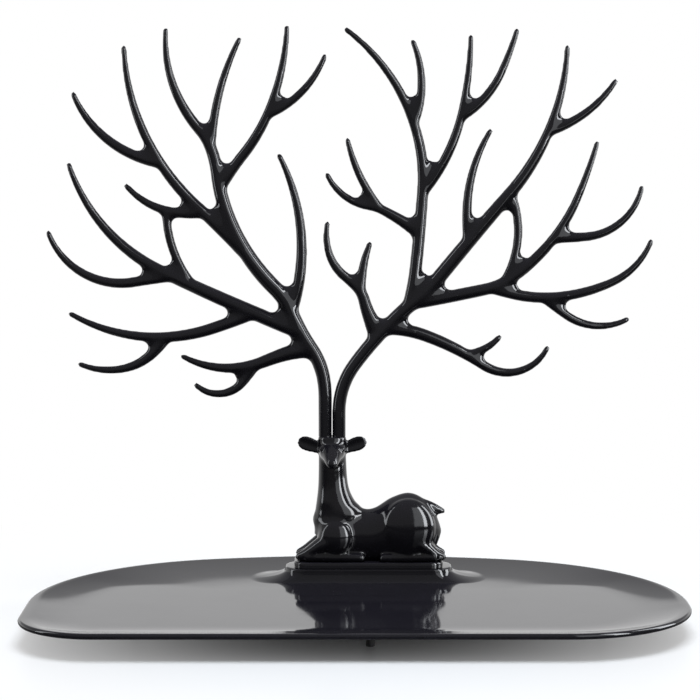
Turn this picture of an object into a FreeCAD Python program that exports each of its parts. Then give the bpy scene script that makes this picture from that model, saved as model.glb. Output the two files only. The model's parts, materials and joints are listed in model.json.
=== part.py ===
"""Jewellery tree: a lying deer on a shallow tray, whose two antlers branch into a tree of tines.

Millimetres, +Z up, +X to the viewer's right, the front faces -Y.
The origin is on the table, under the middle of the tray.
"""
import FreeCAD, Part
import math
import os
from collections import namedtuple

import Sketcher
from FreeCAD import Vector

UP = Vector(0, 0, 1)
ACROSS = Vector(1, 0, 0)
BACKWARD = Vector(0, 1, 0)
ORIGIN = Vector(0, 0, 0)
CLOSE = 1e-4

# Driving sizes
SIZES = {
    # The tray, its plinth, the feet, the slab and the screws
    "tray_length": 250.0,
    "tray_depth": 146.0,
    "tray_wall": 2.2,
    "floor_height": 7.7,
    "rim_band": 22.0,
    "rim_rise": 2.4,
    "rim_lip": 0.7,
    "back_radius": 250.0,
    "side_radius": 85.0,
    "plinth_across": 4.4,
    "plinth_inset": 35.0,
    "plinth_height": 5.2,
    "plinth_length": 66.5,
    "plinth_depth": 19.0,
    "plinth_corner": 7.5,
    "plinth_end_flare": 12.5,
    "plinth_front_flare": 3.0,
    "plinth_hollow_length": 54.0,
    "plinth_hollow_depth": 13.0,
    "foot_width": 3.4,
    "foot_end_inset": 25.0,
    "foot_side_inset": 35.0,
    "foot_side_back": 4.0,
    "slab_length": 57.4,
    "slab_depth": 18.0,
    "slab_thickness": 2.6,
    "slab_corner": 6.5,
    "slab_edge_bevel": 0.6,
    "screw_width": 2.4,
    "screw_bite": 7.0,
    "screw_head_width": 4.6,
    "screw_head_height": 1.5,
    "screw_fit": 0.2,
    "screw_front_along": -8.0,
    "screw_rear_along": 14.0,
    "screw_offset": 3.6,
    # The deer, measured from the middle of its slab's top face
    "head_along": -14.5,
    "crown_up": 49.6,
    "stem_spacing": 5.5,
    "tenon_width": 3.4,
    "tenon_length": 13.6,
    "tenon_flat": 1.2,
    "socket_fit": 0.1,
    "socket_end_room": 0.4,
    "pilot_fit": 0.1,
    # The ears and the branches
    "ear_length": 10.2,
    "ear_height": 6.4,
    "ear_thickness": 2.4,
    "ear_root_spread": 3.8,
    "ear_up": 44.8,
    "ear_lift": 12.0,
    "branch_length": 100.0,
    "branch_width": 4.0,
    "tine_tip_width": 2.2,
    "tine_root_flare": 0.9,
    "bridge_width": 3.6,
}

# Torso sections along the deer: distance along, centre height, half height and half depth
TORSO = {
    "breast": (-22.4, 15.6, 3.2, 2.2),
    "brisket": (-19.6, 14.4, 7.2, 4.6),
    "shoulder": (-14.0, 11.0, 11.0, 7.4),
    "girth": (-5.0, 9.6, 10.8, 7.6),
    "loin": (2.0, 9.8, 10.8, 7.6),
    "flank": (9.0, 11.8, 13.0, 8.2),
    "croup": (16.0, 12.4, 14.4, 8.6),
    "rump": (22.0, 12.0, 12.4, 7.2),
    "buttock": (26.4, 11.6, 7.6, 4.4),
    "seat": (28.4, 11.4, 3.0, 1.8),
}

# Neck sections up the deer: height, distance along, half length and half depth
NECK = {
    "root": (10.0, -13.2, 8.6, 7.2),
    "withers": (19.0, -13.4, 8.5, 6.8),
    "middle": (30.0, -14.1, 6.0, 5.4),
    "throat": (40.0, -14.4, 5.5, 5.0),
    "crown": (49.6, -14.5, 5.5, 4.4),
}

# Round masses: centre along, out from the mid-plane and up, then half length, half depth, half height
MASSES = {
    "haunch": (15.6, 4.4, 12.8, 10.6, 5.6, 11.6),
    "shoulder_mass": (-12.4, 4.2, 9.4, 7.4, 4.9, 8.4),
}

# Limbs: points as distance along, out from the mid-plane and up, with the half width there
LIMBS = {
    "fore_leg": ((-13.0, 4.8, 9.0, 4.8), (-19.5, 4.8, 6.4, 3.6), (-25.6, 4.6, 2.5, 2.5),
                 (-28.6, 4.6, 1.8, 1.2)),
    "fore_shin": ((-25.0, 5.8, 1.9, 1.9), (-13.0, 6.3, 1.8, 1.8), (-3.4, 6.3, 1.6, 1.6),
                  (-1.6, 6.3, 1.4, 0.8)),
    "hind_leg": ((19.0, 5.0, 9.0, 4.6), (24.0, 5.0, 5.4, 3.3), (27.8, 4.8, 2.3, 2.3), (30.4, 4.8, 1.7, 1.1)),
    "hind_shin": ((27.0, 5.9, 1.9, 1.9), (16.0, 6.5, 1.8, 1.8), (6.4, 6.5, 1.6, 1.6), (4.6, 6.5, 1.4, 0.8)),
}
LIMB_POINTS = ("top", "middle", "ankle", "toe")

# Head and tail sections: along, forward of the mid-plane, up, half width and half height
HEAD = {
    "poll": (-14.5, -4.8, 45.0, 3.0, 2.8),
    "skull": (-14.5, -1.6, 44.9, 5.4, 5.0),
    "brow": (-14.5, 2.6, 44.0, 5.2, 4.8),
    "bridge": (-14.5, 6.4, 42.3, 3.7, 3.7),
    "nose": (-14.5, 9.8, 40.5, 2.5, 2.4),
    "nostril": (-14.5, 11.4, 39.9, 1.5, 1.4),
}
TAIL = {
    "tail_root": (21.0, 23.4, 3.4, 2.8),
    "tail_middle": (26.4, 21.6, 2.5, 2.0),
    "tail_tip": (30.8, 19.4, 0.8, 0.8),
}

# Ear sections: shares of its length, of its half height and of its half thickness
EAR = ((0.0, 0.55, 0.9), (0.3, 0.8, 1.0), (0.6, 1.0, 1.0), (0.86, 0.84, 0.8), (1.0, 0.4, 0.4))

# A branch leaves its parent at a share of the parent's length, at a heading in degrees from +X towards +Z.
# Its length and widths are shares of branch_length and branch_width.
# It is a chain of arcs, each a share of the branch's length and a bend in degrees.
Branch = namedtuple("Branch", "name parent share heading length width end_width bends")
Bridge = namedtuple("Bridge", "parent share target target_share bend")

TIP = "tip"
ONWARD = "onward"

LEFT_BRANCHES = (
    Branch("stem", None, 0, 90, length=0.54, width=1.3, end_width=1.6,
           bends=((0.41, 8), (0.26, 23), (0.33, -9))),
    Branch("main", "stem", 1, ONWARD, length=1.22, width=1.6, end_width=TIP,
           bends=((0.08, 24), (0.24, -22), (0.18, -17), (0.09, 15), (0.06, 20), (0.35, -48))),
    Branch("inner_tine", "stem", 0.97, 70, length=0.65, width=1.15, end_width=TIP, bends=((1, 48),)),
    Branch("low_branch", "stem", 0.68, 192, length=0.52, width=1.2, end_width=TIP,
           bends=((0.35, 8), (0.65, -48))),
    Branch("low_twig", "low_branch", 0.42, 234, length=0.3, width=0.95, end_width=TIP,
           bends=((0.3, -5), (0.7, -84))),
    Branch("side_branch", "stem", 0.81, 157, length=1.16, width=1.5, end_width=TIP,
           bends=((0.5, -3), (0.5, -48))),
    Branch("side_hook", "side_branch", 0.47, 187, length=0.57, width=1.1, end_width=TIP,
           bends=((0.26, 3), (0.74, -82))),
    Branch("sweep_branch", "side_branch", 0.17, 202, length=0.76, width=1.15, end_width=TIP,
           bends=((0.22, -3), (0.78, -50))),
    Branch("sweep_twig", "sweep_branch", 0.42, 220, length=0.45, width=0.95, end_width=TIP,
           bends=((0.36, -8), (0.64, -62))),
    Branch("fan_branch", "main", 0.20, 133, length=1, width=1.25, end_width=TIP,
           bends=((0.30, 4), (0.70, -46))),
    Branch("fan_spur", "fan_branch", 0.27, 192, length=0.34, width=1, end_width=TIP, bends=((1, -58),)),
    Branch("fan_hook", "fan_branch", 0.52, 171, length=0.45, width=1, end_width=TIP, bends=((1, -58),)),
    Branch("crown_branch", "main", 0.45, 60, length=0.7, width=1.2, end_width=TIP,
           bends=((0.23, -9), (0.77, 37))),
    Branch("crown_fork", "crown_branch", 0.49, 30, length=0.34, width=0.95, end_width=TIP, bends=((1, 32),)),
    Branch("main_fork", "main", 0.58, 92, length=0.44, width=1, end_width=TIP, bends=((1, -31),)),
)
LEFT_BRIDGE = Bridge("side_branch", 0.39, "fan_spur", 0.42, -40)

RIGHT_BRANCHES = (
    Branch("stem", None, 0, 90, length=0.66, width=1.3, end_width=1.6,
           bends=((0.21, -4), (0.24, -32), (0.55, -15))),
    Branch("main", "stem", 1, ONWARD, length=1.2, width=1.55, end_width=TIP,
           bends=((0.10, 12), (0.36, -2), (0.54, 38))),
    Branch("inner_branch", "stem", 0.69, 122, length=0.5, width=1.2, end_width=TIP,
           bends=((0.28, -14), (0.22, 27), (0.50, -47))),
    Branch("inner_twig", "inner_branch", 0.36, 90, length=0.2, width=0.9, end_width=TIP,
           bends=((1, -22),)),
    Branch("low_branch", "stem", 0.74, 0, length=0.73, width=1.2, end_width=TIP,
           bends=((0.22, -20), (0.38, -10), (0.40, 94))),
    Branch("low_twig", "low_branch", 0.47, 8, length=0.16, width=0.85, end_width=TIP, bends=((1, 36),)),
    Branch("beam", "stem", 0.93, 74, length=1.2, width=1.45, end_width=TIP,
           bends=((0.13, 10), (0.25, 2), (0.20, 20), (0.42, 38))),
    Branch("beam_spur", "beam", 0.25, 146, length=0.44, width=1.1, end_width=TIP,
           bends=((0.36, 6), (0.14, 20), (0.50, -60))),
    Branch("beam_spur_fork", "beam_spur", 0.40, 128, length=0.3, width=0.9, end_width=TIP,
           bends=((1, -26),)),
    Branch("beam_fork", "beam", 0.61, 68, length=0.32, width=0.95, end_width=TIP, bends=((1, 47),)),
    Branch("crown_branch", "beam", 0.38, 50, length=0.65, width=1.15, end_width=TIP,
           bends=((0.55, 28), (0.45, 11))),
    Branch("crown_fork", "crown_branch", 0.51, 30, length=0.42, width=0.95, end_width=TIP,
           bends=((0.57, 36), (0.43, 8))),
    Branch("main_spur", "main", 0.26, 100, length=0.46, width=1, end_width=TIP, bends=((1, -42),)),
    Branch("main_fork", "main", 0.71, 22, length=0.33, width=0.95, end_width=TIP, bends=((1, 32),)),
    Branch("side_branch", "stem", 0.96, 10, length=1.06, width=1.3, end_width=TIP,
           bends=((0.28, 2), (0.10, 26), (0.40, 28), (0.22, 7))),
    Branch("side_fork", "side_branch", 0.61, -7, length=0.45, width=0.95, end_width=TIP,
           bends=((0.28, 10), (0.72, 72))),
    Branch("sweep_branch", "side_branch", 0.30, -16, length=0.73, width=1.15, end_width=TIP,
           bends=((0.12, 2), (0.25, 20), (0.30, 18), (0.33, 43))),
    Branch("sweep_twig", "sweep_branch", 0.29, -36, length=0.38, width=0.95, end_width=TIP,
           bends=((0.3, 2), (0.7, 58))),
)
RIGHT_BRIDGE = Bridge("main", 0.47, "side_branch", 0.35, -54)

ANTLERS = {"left": (LEFT_BRANCHES, LEFT_BRIDGE, -0.5), "right": (RIGHT_BRANCHES, RIGHT_BRIDGE, 0.5)}


def enter_tables():
    """Give each value of the section tables an alias of its own."""
    tables = (
        (TORSO, "torso", ("along", "up", "half_height", "half_depth")),
        (NECK, "neck", ("up", "along", "half_length", "half_depth")),
        (MASSES, "mass", ("along", "out", "up", "half_length", "half_depth", "half_height")),
        (HEAD, "head", ("along", "forward", "up", "half_width", "half_height")),
        (TAIL, "rear", ("along", "up", "half_height", "half_depth")),
    )
    for table, prefix, fields in tables:
        for name, values in table.items():
            for field, value in zip(fields, values):
                SIZES[f"{prefix}_{name}_{field}"] = value
    for name, points in LIMBS.items():
        for place, point in zip(LIMB_POINTS, points):
            for field, value in zip(("along", "out", "up", "half_width"), point):
                SIZES[f"{name}_{place}_{field}"] = value


enter_tables()

doc = FreeCAD.newDocument("jewellery_tree")
sheet = doc.addObject("Spreadsheet::Sheet", "Sizes")
for row, (alias, number) in enumerate(SIZES.items(), start=1):
    sheet.set(f"A{row}", alias)
    sheet.set(f"B{row}", str(number))
    sheet.setAlias(f"B{row}", alias)
doc.recompute()


def size(alias):
    """Value of one cell of the sheet."""
    return float(sheet.get(alias))


def section(prefix, name, fields):
    """Values of one row of a section table."""
    return tuple(size(f"{prefix}_{name}_{field}") for field in fields)


def tie(owner, prop, expression):
    """Bind a property to the sheet."""
    owner.setExpression(prop, expression)


def new_body(label):
    """An empty body with the label of its sub-part."""
    body = doc.addObject("PartDesign::Body", label)
    body.Label = label
    return body


def new_sketch(body, name, role, across="0", back="0", up="0"):
    """A sketch on one of the body's own planes, moved by expressions for its offset."""
    sketch = body.newObject("Sketcher::SketchObject", name)
    plane = next(item for item in body.Origin.OriginFeatures if item.Role == role)
    sketch.AttachmentSupport = [(plane, "")]
    sketch.MapMode = "FlatFace"
    for axis, expression in zip("xyz", (across, back, up)):
        tie(sketch, f"AttachmentOffset.Base.{axis}", expression)
    return sketch


def dimension(sketch, kind, *where, expression):
    """Add a driving dimension and bind it to the sheet."""
    value = evaluate(expression)
    index = sketch.addConstraint(Sketcher.Constraint(kind, *where, value))
    tie(sketch, f"Constraints[{index}]", expression)


def evaluate(expression):
    """Present value of an expression on the sheet, to draw a sketch near its final form."""
    return float(sheet.evalExpression(expression.replace("Sizes.", "")))


def arc(centre_x, centre_y, radius, start_degrees, end_degrees):
    """A circular arc in a sketch."""
    circle = Part.Circle(Vector(centre_x, centre_y, 0), UP, radius)
    return Part.ArcOfCircle(circle, math.radians(start_degrees), math.radians(end_degrees))


def line(start, end):
    """A straight line in a sketch."""
    return Part.LineSegment(Vector(*start, 0), Vector(*end, 0))


def close_with_tangents(sketch, count):
    """Join each piece of a closed outline to the next one, in line with it."""
    for piece in range(count):
        sketch.addConstraint(Sketcher.Constraint("Tangent", piece, 2, (piece + 1) % count, 1))


def draw_rounded_rectangle(sketch, length, depth, corner):
    """A rectangle with round corners about the sketch's origin, its sizes given as expressions."""
    half_length = evaluate(length) / 2
    half_depth = evaluate(depth) / 2
    radius = evaluate(corner)
    flat_x = half_length - radius
    flat_y = half_depth - radius
    sketch.addGeometry([
        line((-flat_x, -half_depth), (flat_x, -half_depth)),
        arc(flat_x, -flat_y, radius, -90, 0),
        line((half_length, -flat_y), (half_length, flat_y)),
        arc(flat_x, flat_y, radius, 0, 90),
        line((flat_x, half_depth), (-flat_x, half_depth)),
        arc(-flat_x, flat_y, radius, 90, 180),
        line((-half_length, flat_y), (-half_length, -flat_y)),
        arc(-flat_x, -flat_y, radius, 180, 270),
    ])
    close_with_tangents(sketch, 8)
    for piece in (0, 4):
        sketch.addConstraint(Sketcher.Constraint("Horizontal", piece))
    for piece in (2, 6):
        sketch.addConstraint(Sketcher.Constraint("Vertical", piece))
    for piece in (3, 5, 7):
        sketch.addConstraint(Sketcher.Constraint("Equal", 1, piece))
    dimension(sketch, "Radius", 1, expression=corner)
    dimension(sketch, "DistanceY", 0, 1, -1, 1, expression=f"({depth}) / 2")
    dimension(sketch, "DistanceX", -1, 1, 2, 1, expression=f"({length}) / 2")
    dimension(sketch, "DistanceY", -1, 1, 4, 1, expression=f"({depth}) / 2")
    dimension(sketch, "DistanceX", 6, 1, -1, 1, expression=f"({length}) / 2")


def draw_circle(sketch, width, across="0", back="0"):
    """A circle in a sketch, its width and place given as expressions."""
    centre_x = evaluate(across)
    centre_y = evaluate(back)
    index = sketch.addGeometry(Part.Circle(Vector(centre_x, centre_y, 0), UP, evaluate(width) / 2))
    dimension(sketch, "Diameter", index, expression=width)
    dimension(sketch, "DistanceX", -1, 1, index, 3, expression=across)
    dimension(sketch, "DistanceY", -1, 1, index, 3, expression=back)


# Depth that the tray's ends leave for its front corners, and the share of it that each corner takes
END_ROOM = ("(Sizes.tray_depth - Sizes.back_radius + sqrt((Sizes.back_radius - Sizes.side_radius)^2"
            " - (Sizes.tray_length / 2 - Sizes.side_radius)^2) - Sizes.rim_band)")
FRONT_LEFT_SHARE = 0.235
FRONT_RIGHT_SHARE = 0.82
FRONT_LEFT_RADIUS = f"(Sizes.rim_band + {FRONT_LEFT_SHARE} * {END_ROOM})"
FRONT_RIGHT_RADIUS = f"(Sizes.rim_band + {FRONT_RIGHT_SHARE} * {END_ROOM})"


def draw_tray_outline(sketch, inset):
    """The tray's plan: bowed back, round ends and straight front, taken in by an inset."""
    step_in = evaluate(inset)
    half_length = size("tray_length") / 2
    half_depth = size("tray_depth") / 2
    back_radius = size("back_radius")
    side_radius = size("side_radius")
    side_x = half_length - side_radius
    back_y = half_depth - back_radius
    side_y = back_y + math.sqrt((back_radius - side_radius) ** 2 - side_x ** 2)
    lean = math.degrees(math.atan2(side_y - back_y, side_x))
    left = evaluate(FRONT_LEFT_RADIUS)
    right = evaluate(FRONT_RIGHT_RADIUS)
    edge_x = half_length - step_in
    edge_y = half_depth - step_in
    sketch.addGeometry([
        line((left - half_length, -edge_y), (half_length - right, -edge_y)),
        arc(half_length - right, right - half_depth, right - step_in, -90, 0),
        line((edge_x, right - half_depth), (edge_x, side_y)),
        arc(side_x, side_y, side_radius - step_in, 0, lean),
        arc(0, back_y, back_radius - step_in, lean, 180 - lean),
        arc(-side_x, side_y, side_radius - step_in, 180 - lean, 180),
        line((-edge_x, side_y), (-edge_x, left - half_depth)),
        arc(left - half_length, left - half_depth, left - step_in, 180, 270),
    ])
    close_with_tangents(sketch, 8)
    sketch.addConstraint(Sketcher.Constraint("Horizontal", 0))
    sketch.addConstraint(Sketcher.Constraint("Vertical", 2))
    sketch.addConstraint(Sketcher.Constraint("Vertical", 6))
    sketch.addConstraint(Sketcher.Constraint("PointOnObject", 4, 3, -2))
    sketch.addConstraint(Sketcher.Constraint("Equal", 3, 5))
    dimension(sketch, "Radius", 1, expression=f"{FRONT_RIGHT_RADIUS} - {inset}")
    dimension(sketch, "Radius", 3, expression=f"Sizes.side_radius - {inset}")
    dimension(sketch, "Radius", 4, expression=f"Sizes.back_radius - {inset}")
    dimension(sketch, "Radius", 7, expression=f"{FRONT_LEFT_RADIUS} - {inset}")
    dimension(sketch, "DistanceY", 0, 1, -1, 1, expression=f"Sizes.tray_depth / 2 - {inset}")
    dimension(sketch, "DistanceX", -1, 1, 2, 1, expression=f"Sizes.tray_length / 2 - {inset}")
    dimension(sketch, "DistanceX", 6, 1, -1, 1, expression=f"Sizes.tray_length / 2 - {inset}")
    dimension(sketch, "DistanceY", 4, 3, -1, 1, expression="Sizes.back_radius - Sizes.tray_depth / 2")


def chain(points):
    """Straight lines from each point to the next."""
    return [line(start, end) for start, end in zip(points, points[1:])]


def draw_rim_profile(sketch):
    """The rim's section at the front: a banded wall that bends up from the floor to a bevelled lip."""
    wall = size("tray_wall")
    run = size("rim_band") - size("rim_lip")
    rise = size("rim_rise")
    middle = (run ** 2 + rise ** 2) / (2 * rise)
    edge = (-size("tray_depth") / 2, size("floor_height") - wall / 2 + rise)
    centre_x = edge[0] + size("rim_band")
    centre_y = edge[1] - rise + middle
    sweep = math.degrees(math.asin(run / middle))
    radii = (middle - wall / 2, middle + wall / 2)
    sketch.addGeometry([arc(centre_x, centre_y, radius, 270 - sweep, 270) for radius in radii], True)
    turns = [math.radians(sweep * band / RIM_BANDS) for band in range(RIM_BANDS + 1)]
    inner, outer = ([(centre_x - radius * math.sin(turn), centre_y - radius * math.cos(turn))
                     for turn in turns] for radius in radii)
    sketch.addGeometry(chain(inner + [edge] + outer[::-1] + inner[:1]))

    # Pieces of the outline in order: inner bands, the lip's two bevels, outer bands, the joint with the floor
    first = 2
    lip = first + RIM_BANDS
    last = lip + RIM_BANDS + 2
    for piece in range(first, last):
        sketch.addConstraint(Sketcher.Constraint("Coincident", piece, 2, piece + 1, 1))
    sketch.addConstraint(Sketcher.Constraint("Coincident", last, 2, first, 1))
    sketch.addConstraint(Sketcher.Constraint("Coincident", 0, 3, 1, 3))
    for own_arc, start, joint in ((0, first, first), (1, lip + 2, last)):
        sketch.addConstraint(Sketcher.Constraint("Coincident", own_arc, 2, joint, 1))
        sketch.addConstraint(Sketcher.Constraint("Coincident", own_arc, 1, lip + own_arc, 1 + own_arc))
        for piece in range(start, start + RIM_BANDS - 1):
            sketch.addConstraint(Sketcher.Constraint("PointOnObject", piece, 2, own_arc))
            sketch.addConstraint(Sketcher.Constraint("Equal", piece, piece + 1))
    sketch.addConstraint(Sketcher.Constraint("Vertical", last))
    sketch.addConstraint(Sketcher.Constraint("Vertical", 0, 3, 0, 2))

    run_text = "(Sizes.rim_band - Sizes.rim_lip)"
    middle_text = f"(({run_text}^2 + Sizes.rim_rise^2) / (2 * Sizes.rim_rise))"
    for own_arc, radius_text in ((0, f"({middle_text} - Sizes.tray_wall / 2)"),
                                 (1, f"({middle_text} + Sizes.tray_wall / 2)")):
        dimension(sketch, "Radius", own_arc, expression=radius_text)
        dimension(sketch, "DistanceX", own_arc, 1, own_arc, 3,
                  expression=f"{radius_text} * {run_text} / {middle_text}")
    dimension(sketch, "DistanceX", 0, 3, -1, 1, expression="Sizes.tray_depth / 2 - Sizes.rim_band")
    dimension(sketch, "DistanceY", -1, 1, 0, 3,
              expression=f"Sizes.floor_height - Sizes.tray_wall / 2 + {middle_text}")
    dimension(sketch, "DistanceX", lip, 2, -1, 1, expression="Sizes.tray_depth / 2")
    dimension(sketch, "DistanceY", -1, 1, lip, 2,
              expression="Sizes.floor_height - Sizes.tray_wall / 2 + Sizes.rim_rise")


PLINTH_BACK = "(Sizes.tray_depth / 2 - Sizes.plinth_inset)"
FOOT_SPREAD = "(Sizes.tray_length / 2 - Sizes.foot_side_inset)"
FEET = {
    "foot_front": ("Sizes.plinth_across", "Sizes.foot_end_inset - Sizes.tray_depth / 2"),
    "foot_back": ("Sizes.plinth_across", "Sizes.tray_depth / 2 - Sizes.foot_end_inset"),
    "foot_left": (f"Sizes.plinth_across - {FOOT_SPREAD}", "Sizes.foot_side_back"),
    "foot_right": (f"Sizes.plinth_across + {FOOT_SPREAD}", "Sizes.foot_side_back"),
}
SCREWS = {
    "front": ("Sizes.plinth_across + Sizes.screw_front_along", f"{PLINTH_BACK} - Sizes.screw_offset"),
    "rear": ("Sizes.plinth_across + Sizes.screw_rear_along", f"{PLINTH_BACK} + Sizes.screw_offset"),
}
PLATEAU = "Sizes.floor_height + Sizes.plinth_height"
UNDERSIDE = "Sizes.floor_height - Sizes.tray_wall"
FIGURE_UP = f"{PLATEAU} + Sizes.slab_thickness"

# Flat bands that the rim's bend is made of
RIM_BANDS = 2

# Shares of the plinth's height and of its flare, from its foot to its top
PLINTH_STEPS = ((-0.1, 1.0), (0.16, 0.52), (0.48, 0.17), (0.88, 0.0), (1.0, -0.05))


def pad(body, name, sketch, length):
    """Add material along a sketch's normal."""
    feature = body.newObject("PartDesign::Pad", name)
    feature.Profile = sketch
    tie(feature, "Length", length)
    return feature


def pocket(body, name, sketch, depth):
    """Cut upwards from a sketch."""
    feature = body.newObject("PartDesign::Pocket", name)
    feature.Profile = sketch
    feature.Reversed = True
    tie(feature, "Length", depth)
    return feature


def bevel_edges(body, name, base, height, bevel):
    """Bevel the edges of a feature that lie wholly at one height."""
    doc.recompute()
    level = evaluate(height)
    picked = [f"Edge{number}" for number, edge in enumerate(base.Shape.Edges, start=1)
              if all(abs(vertex.Z - level) < CLOSE for vertex in edge.Vertexes)
              and abs(edge.BoundBox.ZLength) < CLOSE]
    feature = body.newObject("PartDesign::Chamfer", name)
    feature.Base = (base, picked)
    tie(feature, "Size", bevel)
    return feature


def build_tray():
    """The tray: flat floor, upturned rim and a hollow plinth for the deer."""
    body = new_body("tray")
    floor = new_sketch(body, "tray_floor_outline", "XY_Plane", up=UNDERSIDE)
    draw_tray_outline(floor, "Sizes.rim_band")
    pad(body, "tray_floor", floor, "Sizes.tray_wall")

    outline = new_sketch(body, "tray_rim_outline", "XY_Plane", up="Sizes.floor_height + Sizes.rim_rise")
    draw_tray_outline(outline, "0")
    profile = new_sketch(body, "tray_rim_profile", "YZ_Plane")
    draw_rim_profile(profile)
    rim = body.newObject("PartDesign::AdditivePipe", "tray_rim")
    rim.Profile = profile
    rim.Spine = outline
    doc.recompute()

    levels = []
    for number, (lift, flare) in enumerate(PLINTH_STEPS):
        level = new_sketch(body, f"plinth_level_{number}", "XY_Plane", "Sizes.plinth_across",
                           PLINTH_BACK, f"Sizes.floor_height + {lift} * Sizes.plinth_height")
        draw_rounded_rectangle(
            level,
            f"Sizes.plinth_length + 2 * {flare} * Sizes.plinth_end_flare",
            f"Sizes.plinth_depth + 2 * {flare} * Sizes.plinth_front_flare",
            f"Sizes.plinth_corner + {flare} * Sizes.plinth_front_flare")
        levels.append(level)
    plinth = body.newObject("PartDesign::AdditiveLoft", "plinth")
    plinth.Profile = levels[0]
    plinth.Sections = levels[1:]
    plinth.Ruled = True

    hollow = new_sketch(body, "plinth_hollow_outline", "XY_Plane", "Sizes.plinth_across",
                        PLINTH_BACK, UNDERSIDE)
    draw_rounded_rectangle(hollow, "Sizes.plinth_hollow_length", "Sizes.plinth_hollow_depth",
                           "Sizes.plinth_corner / 2")
    pocket(body, "plinth_hollow", hollow, "Sizes.plinth_height")

    holes = new_sketch(body, "tray_screw_circles", "XY_Plane", up=UNDERSIDE)
    for across, back in SCREWS.values():
        draw_circle(holes, "Sizes.screw_width + 2 * Sizes.screw_fit", across, back)
    pocket(body, "tray_screw_holes", holes, "Sizes.plinth_height + 2 * Sizes.tray_wall")
    return body


def build_slab():
    """The deer's slab: a flat plate that closes the figure's underside."""
    body = new_body("deer_base")
    outline = new_sketch(body, "slab_outline", "XY_Plane")
    draw_rounded_rectangle(outline, "Sizes.slab_length", "Sizes.slab_depth", "Sizes.slab_corner")
    plate = pad(body, "slab_plate", outline, "Sizes.slab_thickness")
    bevel_edges(body, "slab_edge", plate, "Sizes.slab_thickness", "Sizes.slab_edge_bevel")
    holes = new_sketch(body, "slab_screw_circles", "XY_Plane")
    draw_circle(holes, "Sizes.screw_width + 2 * Sizes.screw_fit", "Sizes.screw_front_along",
                "-Sizes.screw_offset")
    draw_circle(holes, "Sizes.screw_width + 2 * Sizes.screw_fit", "Sizes.screw_rear_along",
                "Sizes.screw_offset")
    pocket(body, "slab_screw_holes", holes, "Sizes.slab_thickness + Sizes.screw_fit")
    place(body, "Sizes.plinth_across", PLINTH_BACK, PLATEAU)
    return body


def place(owner, across, back, up):
    """Put an object at a place given as expressions."""
    for axis, expression in zip("xyz", (across, back, up)):
        tie(owner, f"Placement.Base.{axis}", expression)


def build_foot(label, across, back):
    """One rubber foot: a stub stuck under the tray's floor."""
    foot = cylinder(label, "Sizes.foot_width", UNDERSIDE, across, back, "0")
    foot.Label = label
    return foot


def cylinder(name, width, height, across, back, up):
    """A cylinder object whose sizes and place are expressions."""
    item = doc.addObject("Part::Cylinder", name)
    tie(item, "Radius", f"({width}) / 2")
    tie(item, "Height", height)
    place(item, across, back, up)
    return item


def build_screws():
    """The two screws that hold the deer from under the plinth."""
    seat = f"{PLATEAU} - Sizes.tray_wall"
    head_low = f"{seat} - Sizes.screw_head_height"
    reach = "Sizes.screw_head_height + Sizes.tray_wall + Sizes.slab_thickness + Sizes.screw_bite"
    screws = []
    for name, (across, back) in SCREWS.items():
        shank = cylinder(f"{name}_shank", "Sizes.screw_width", reach, across, back, head_low)
        head = cylinder(f"{name}_head", "Sizes.screw_head_width", "Sizes.screw_head_height",
                        across, back, head_low)
        screw = doc.addObject("Part::Fuse", f"{name}_screw")
        screw.Base = shank
        screw.Tool = head
        screws.append(screw)
    pair = doc.addObject("Part::Compound", "base_screws")
    pair.Label = "base_screws"
    pair.Links = screws
    return pair


# Sides of the rings that the deer's body, its small forms and the tines are lofted through
BODY_SIDES = 14
SMALL_SIDES = 8
TINE_SIDES = 10


def ring(centre, across, other, half_across, half_other, sides):
    """Corners of a many-sided ring about an ellipse.

    Its sides face the same ways whatever the ellipse, so the walls between parallel rings are flat.
    """
    step = math.radians(360 / sides)
    reaches = [math.hypot(half_across * math.cos(side * step), half_other * math.sin(side * step))
               for side in range(sides)]
    corners = []
    for side, reach in enumerate(reaches):
        turn = side * step
        slide = (reaches[(side + 1) % sides] - reach * math.cos(step)) / math.sin(step)
        corners.append(centre + across * (reach * math.cos(turn) - slide * math.sin(turn))
                       + other * (reach * math.sin(turn) + slide * math.cos(turn)))
    return corners


def closed_wire(corners):
    """The closed outline through some corners."""
    return Part.makePolygon(corners + corners[:1])


def is_flat(first, second, third, fourth):
    """Whether four corners lie in one plane."""
    normal = (second - first).cross(third - first)
    return abs(normal.normalize().dot(fourth - first)) < CLOSE


def flat_walled(rings):
    """A solid of plane walls through rings, with a wall split in two where it would be warped."""
    outlines = [rings[0], rings[-1]]
    for lower, upper in zip(rings, rings[1:]):
        for side, corner in enumerate(lower):
            wall = [corner, lower[side - 1], upper[side - 1], upper[side]]
            outlines += [wall] if is_flat(*wall) else [wall[:3], wall[2:] + wall[:1]]
    faces = [Part.Face(closed_wire(outline)) for outline in outlines]
    solid = Part.Solid(Part.Shell(faces))
    if solid.Volume < 0:
        solid.reverse()
    return solid


def with_middles(rows):
    """Rows of sizes with one more row between each two, on a smooth curve through their neighbours."""
    padded = [rows[0]] + rows + [rows[-1]]
    fuller = []
    for before, here, there, after in zip(padded, padded[1:], padded[2:], padded[3:]):
        fuller.append(here)
        fuller.append(tuple((9 * (b + c) - a - d) / 16 for a, b, c, d in zip(before, here, there, after)))
    return fuller + [rows[-1]]


def rows_of(table, prefix, fields):
    """All the rows of a section table, as they stand on the sheet."""
    return [section(prefix, name, fields) for name in table]


def torso():
    """The trunk as a loft along the deer."""
    rows = rows_of(TORSO, "torso", ("along", "up", "half_height", "half_depth"))
    return flat_walled([ring(Vector(along, 0, up), BACKWARD, UP, half_depth, half_height, BODY_SIDES)
                        for along, up, half_height, half_depth in with_middles(rows)])


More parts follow.
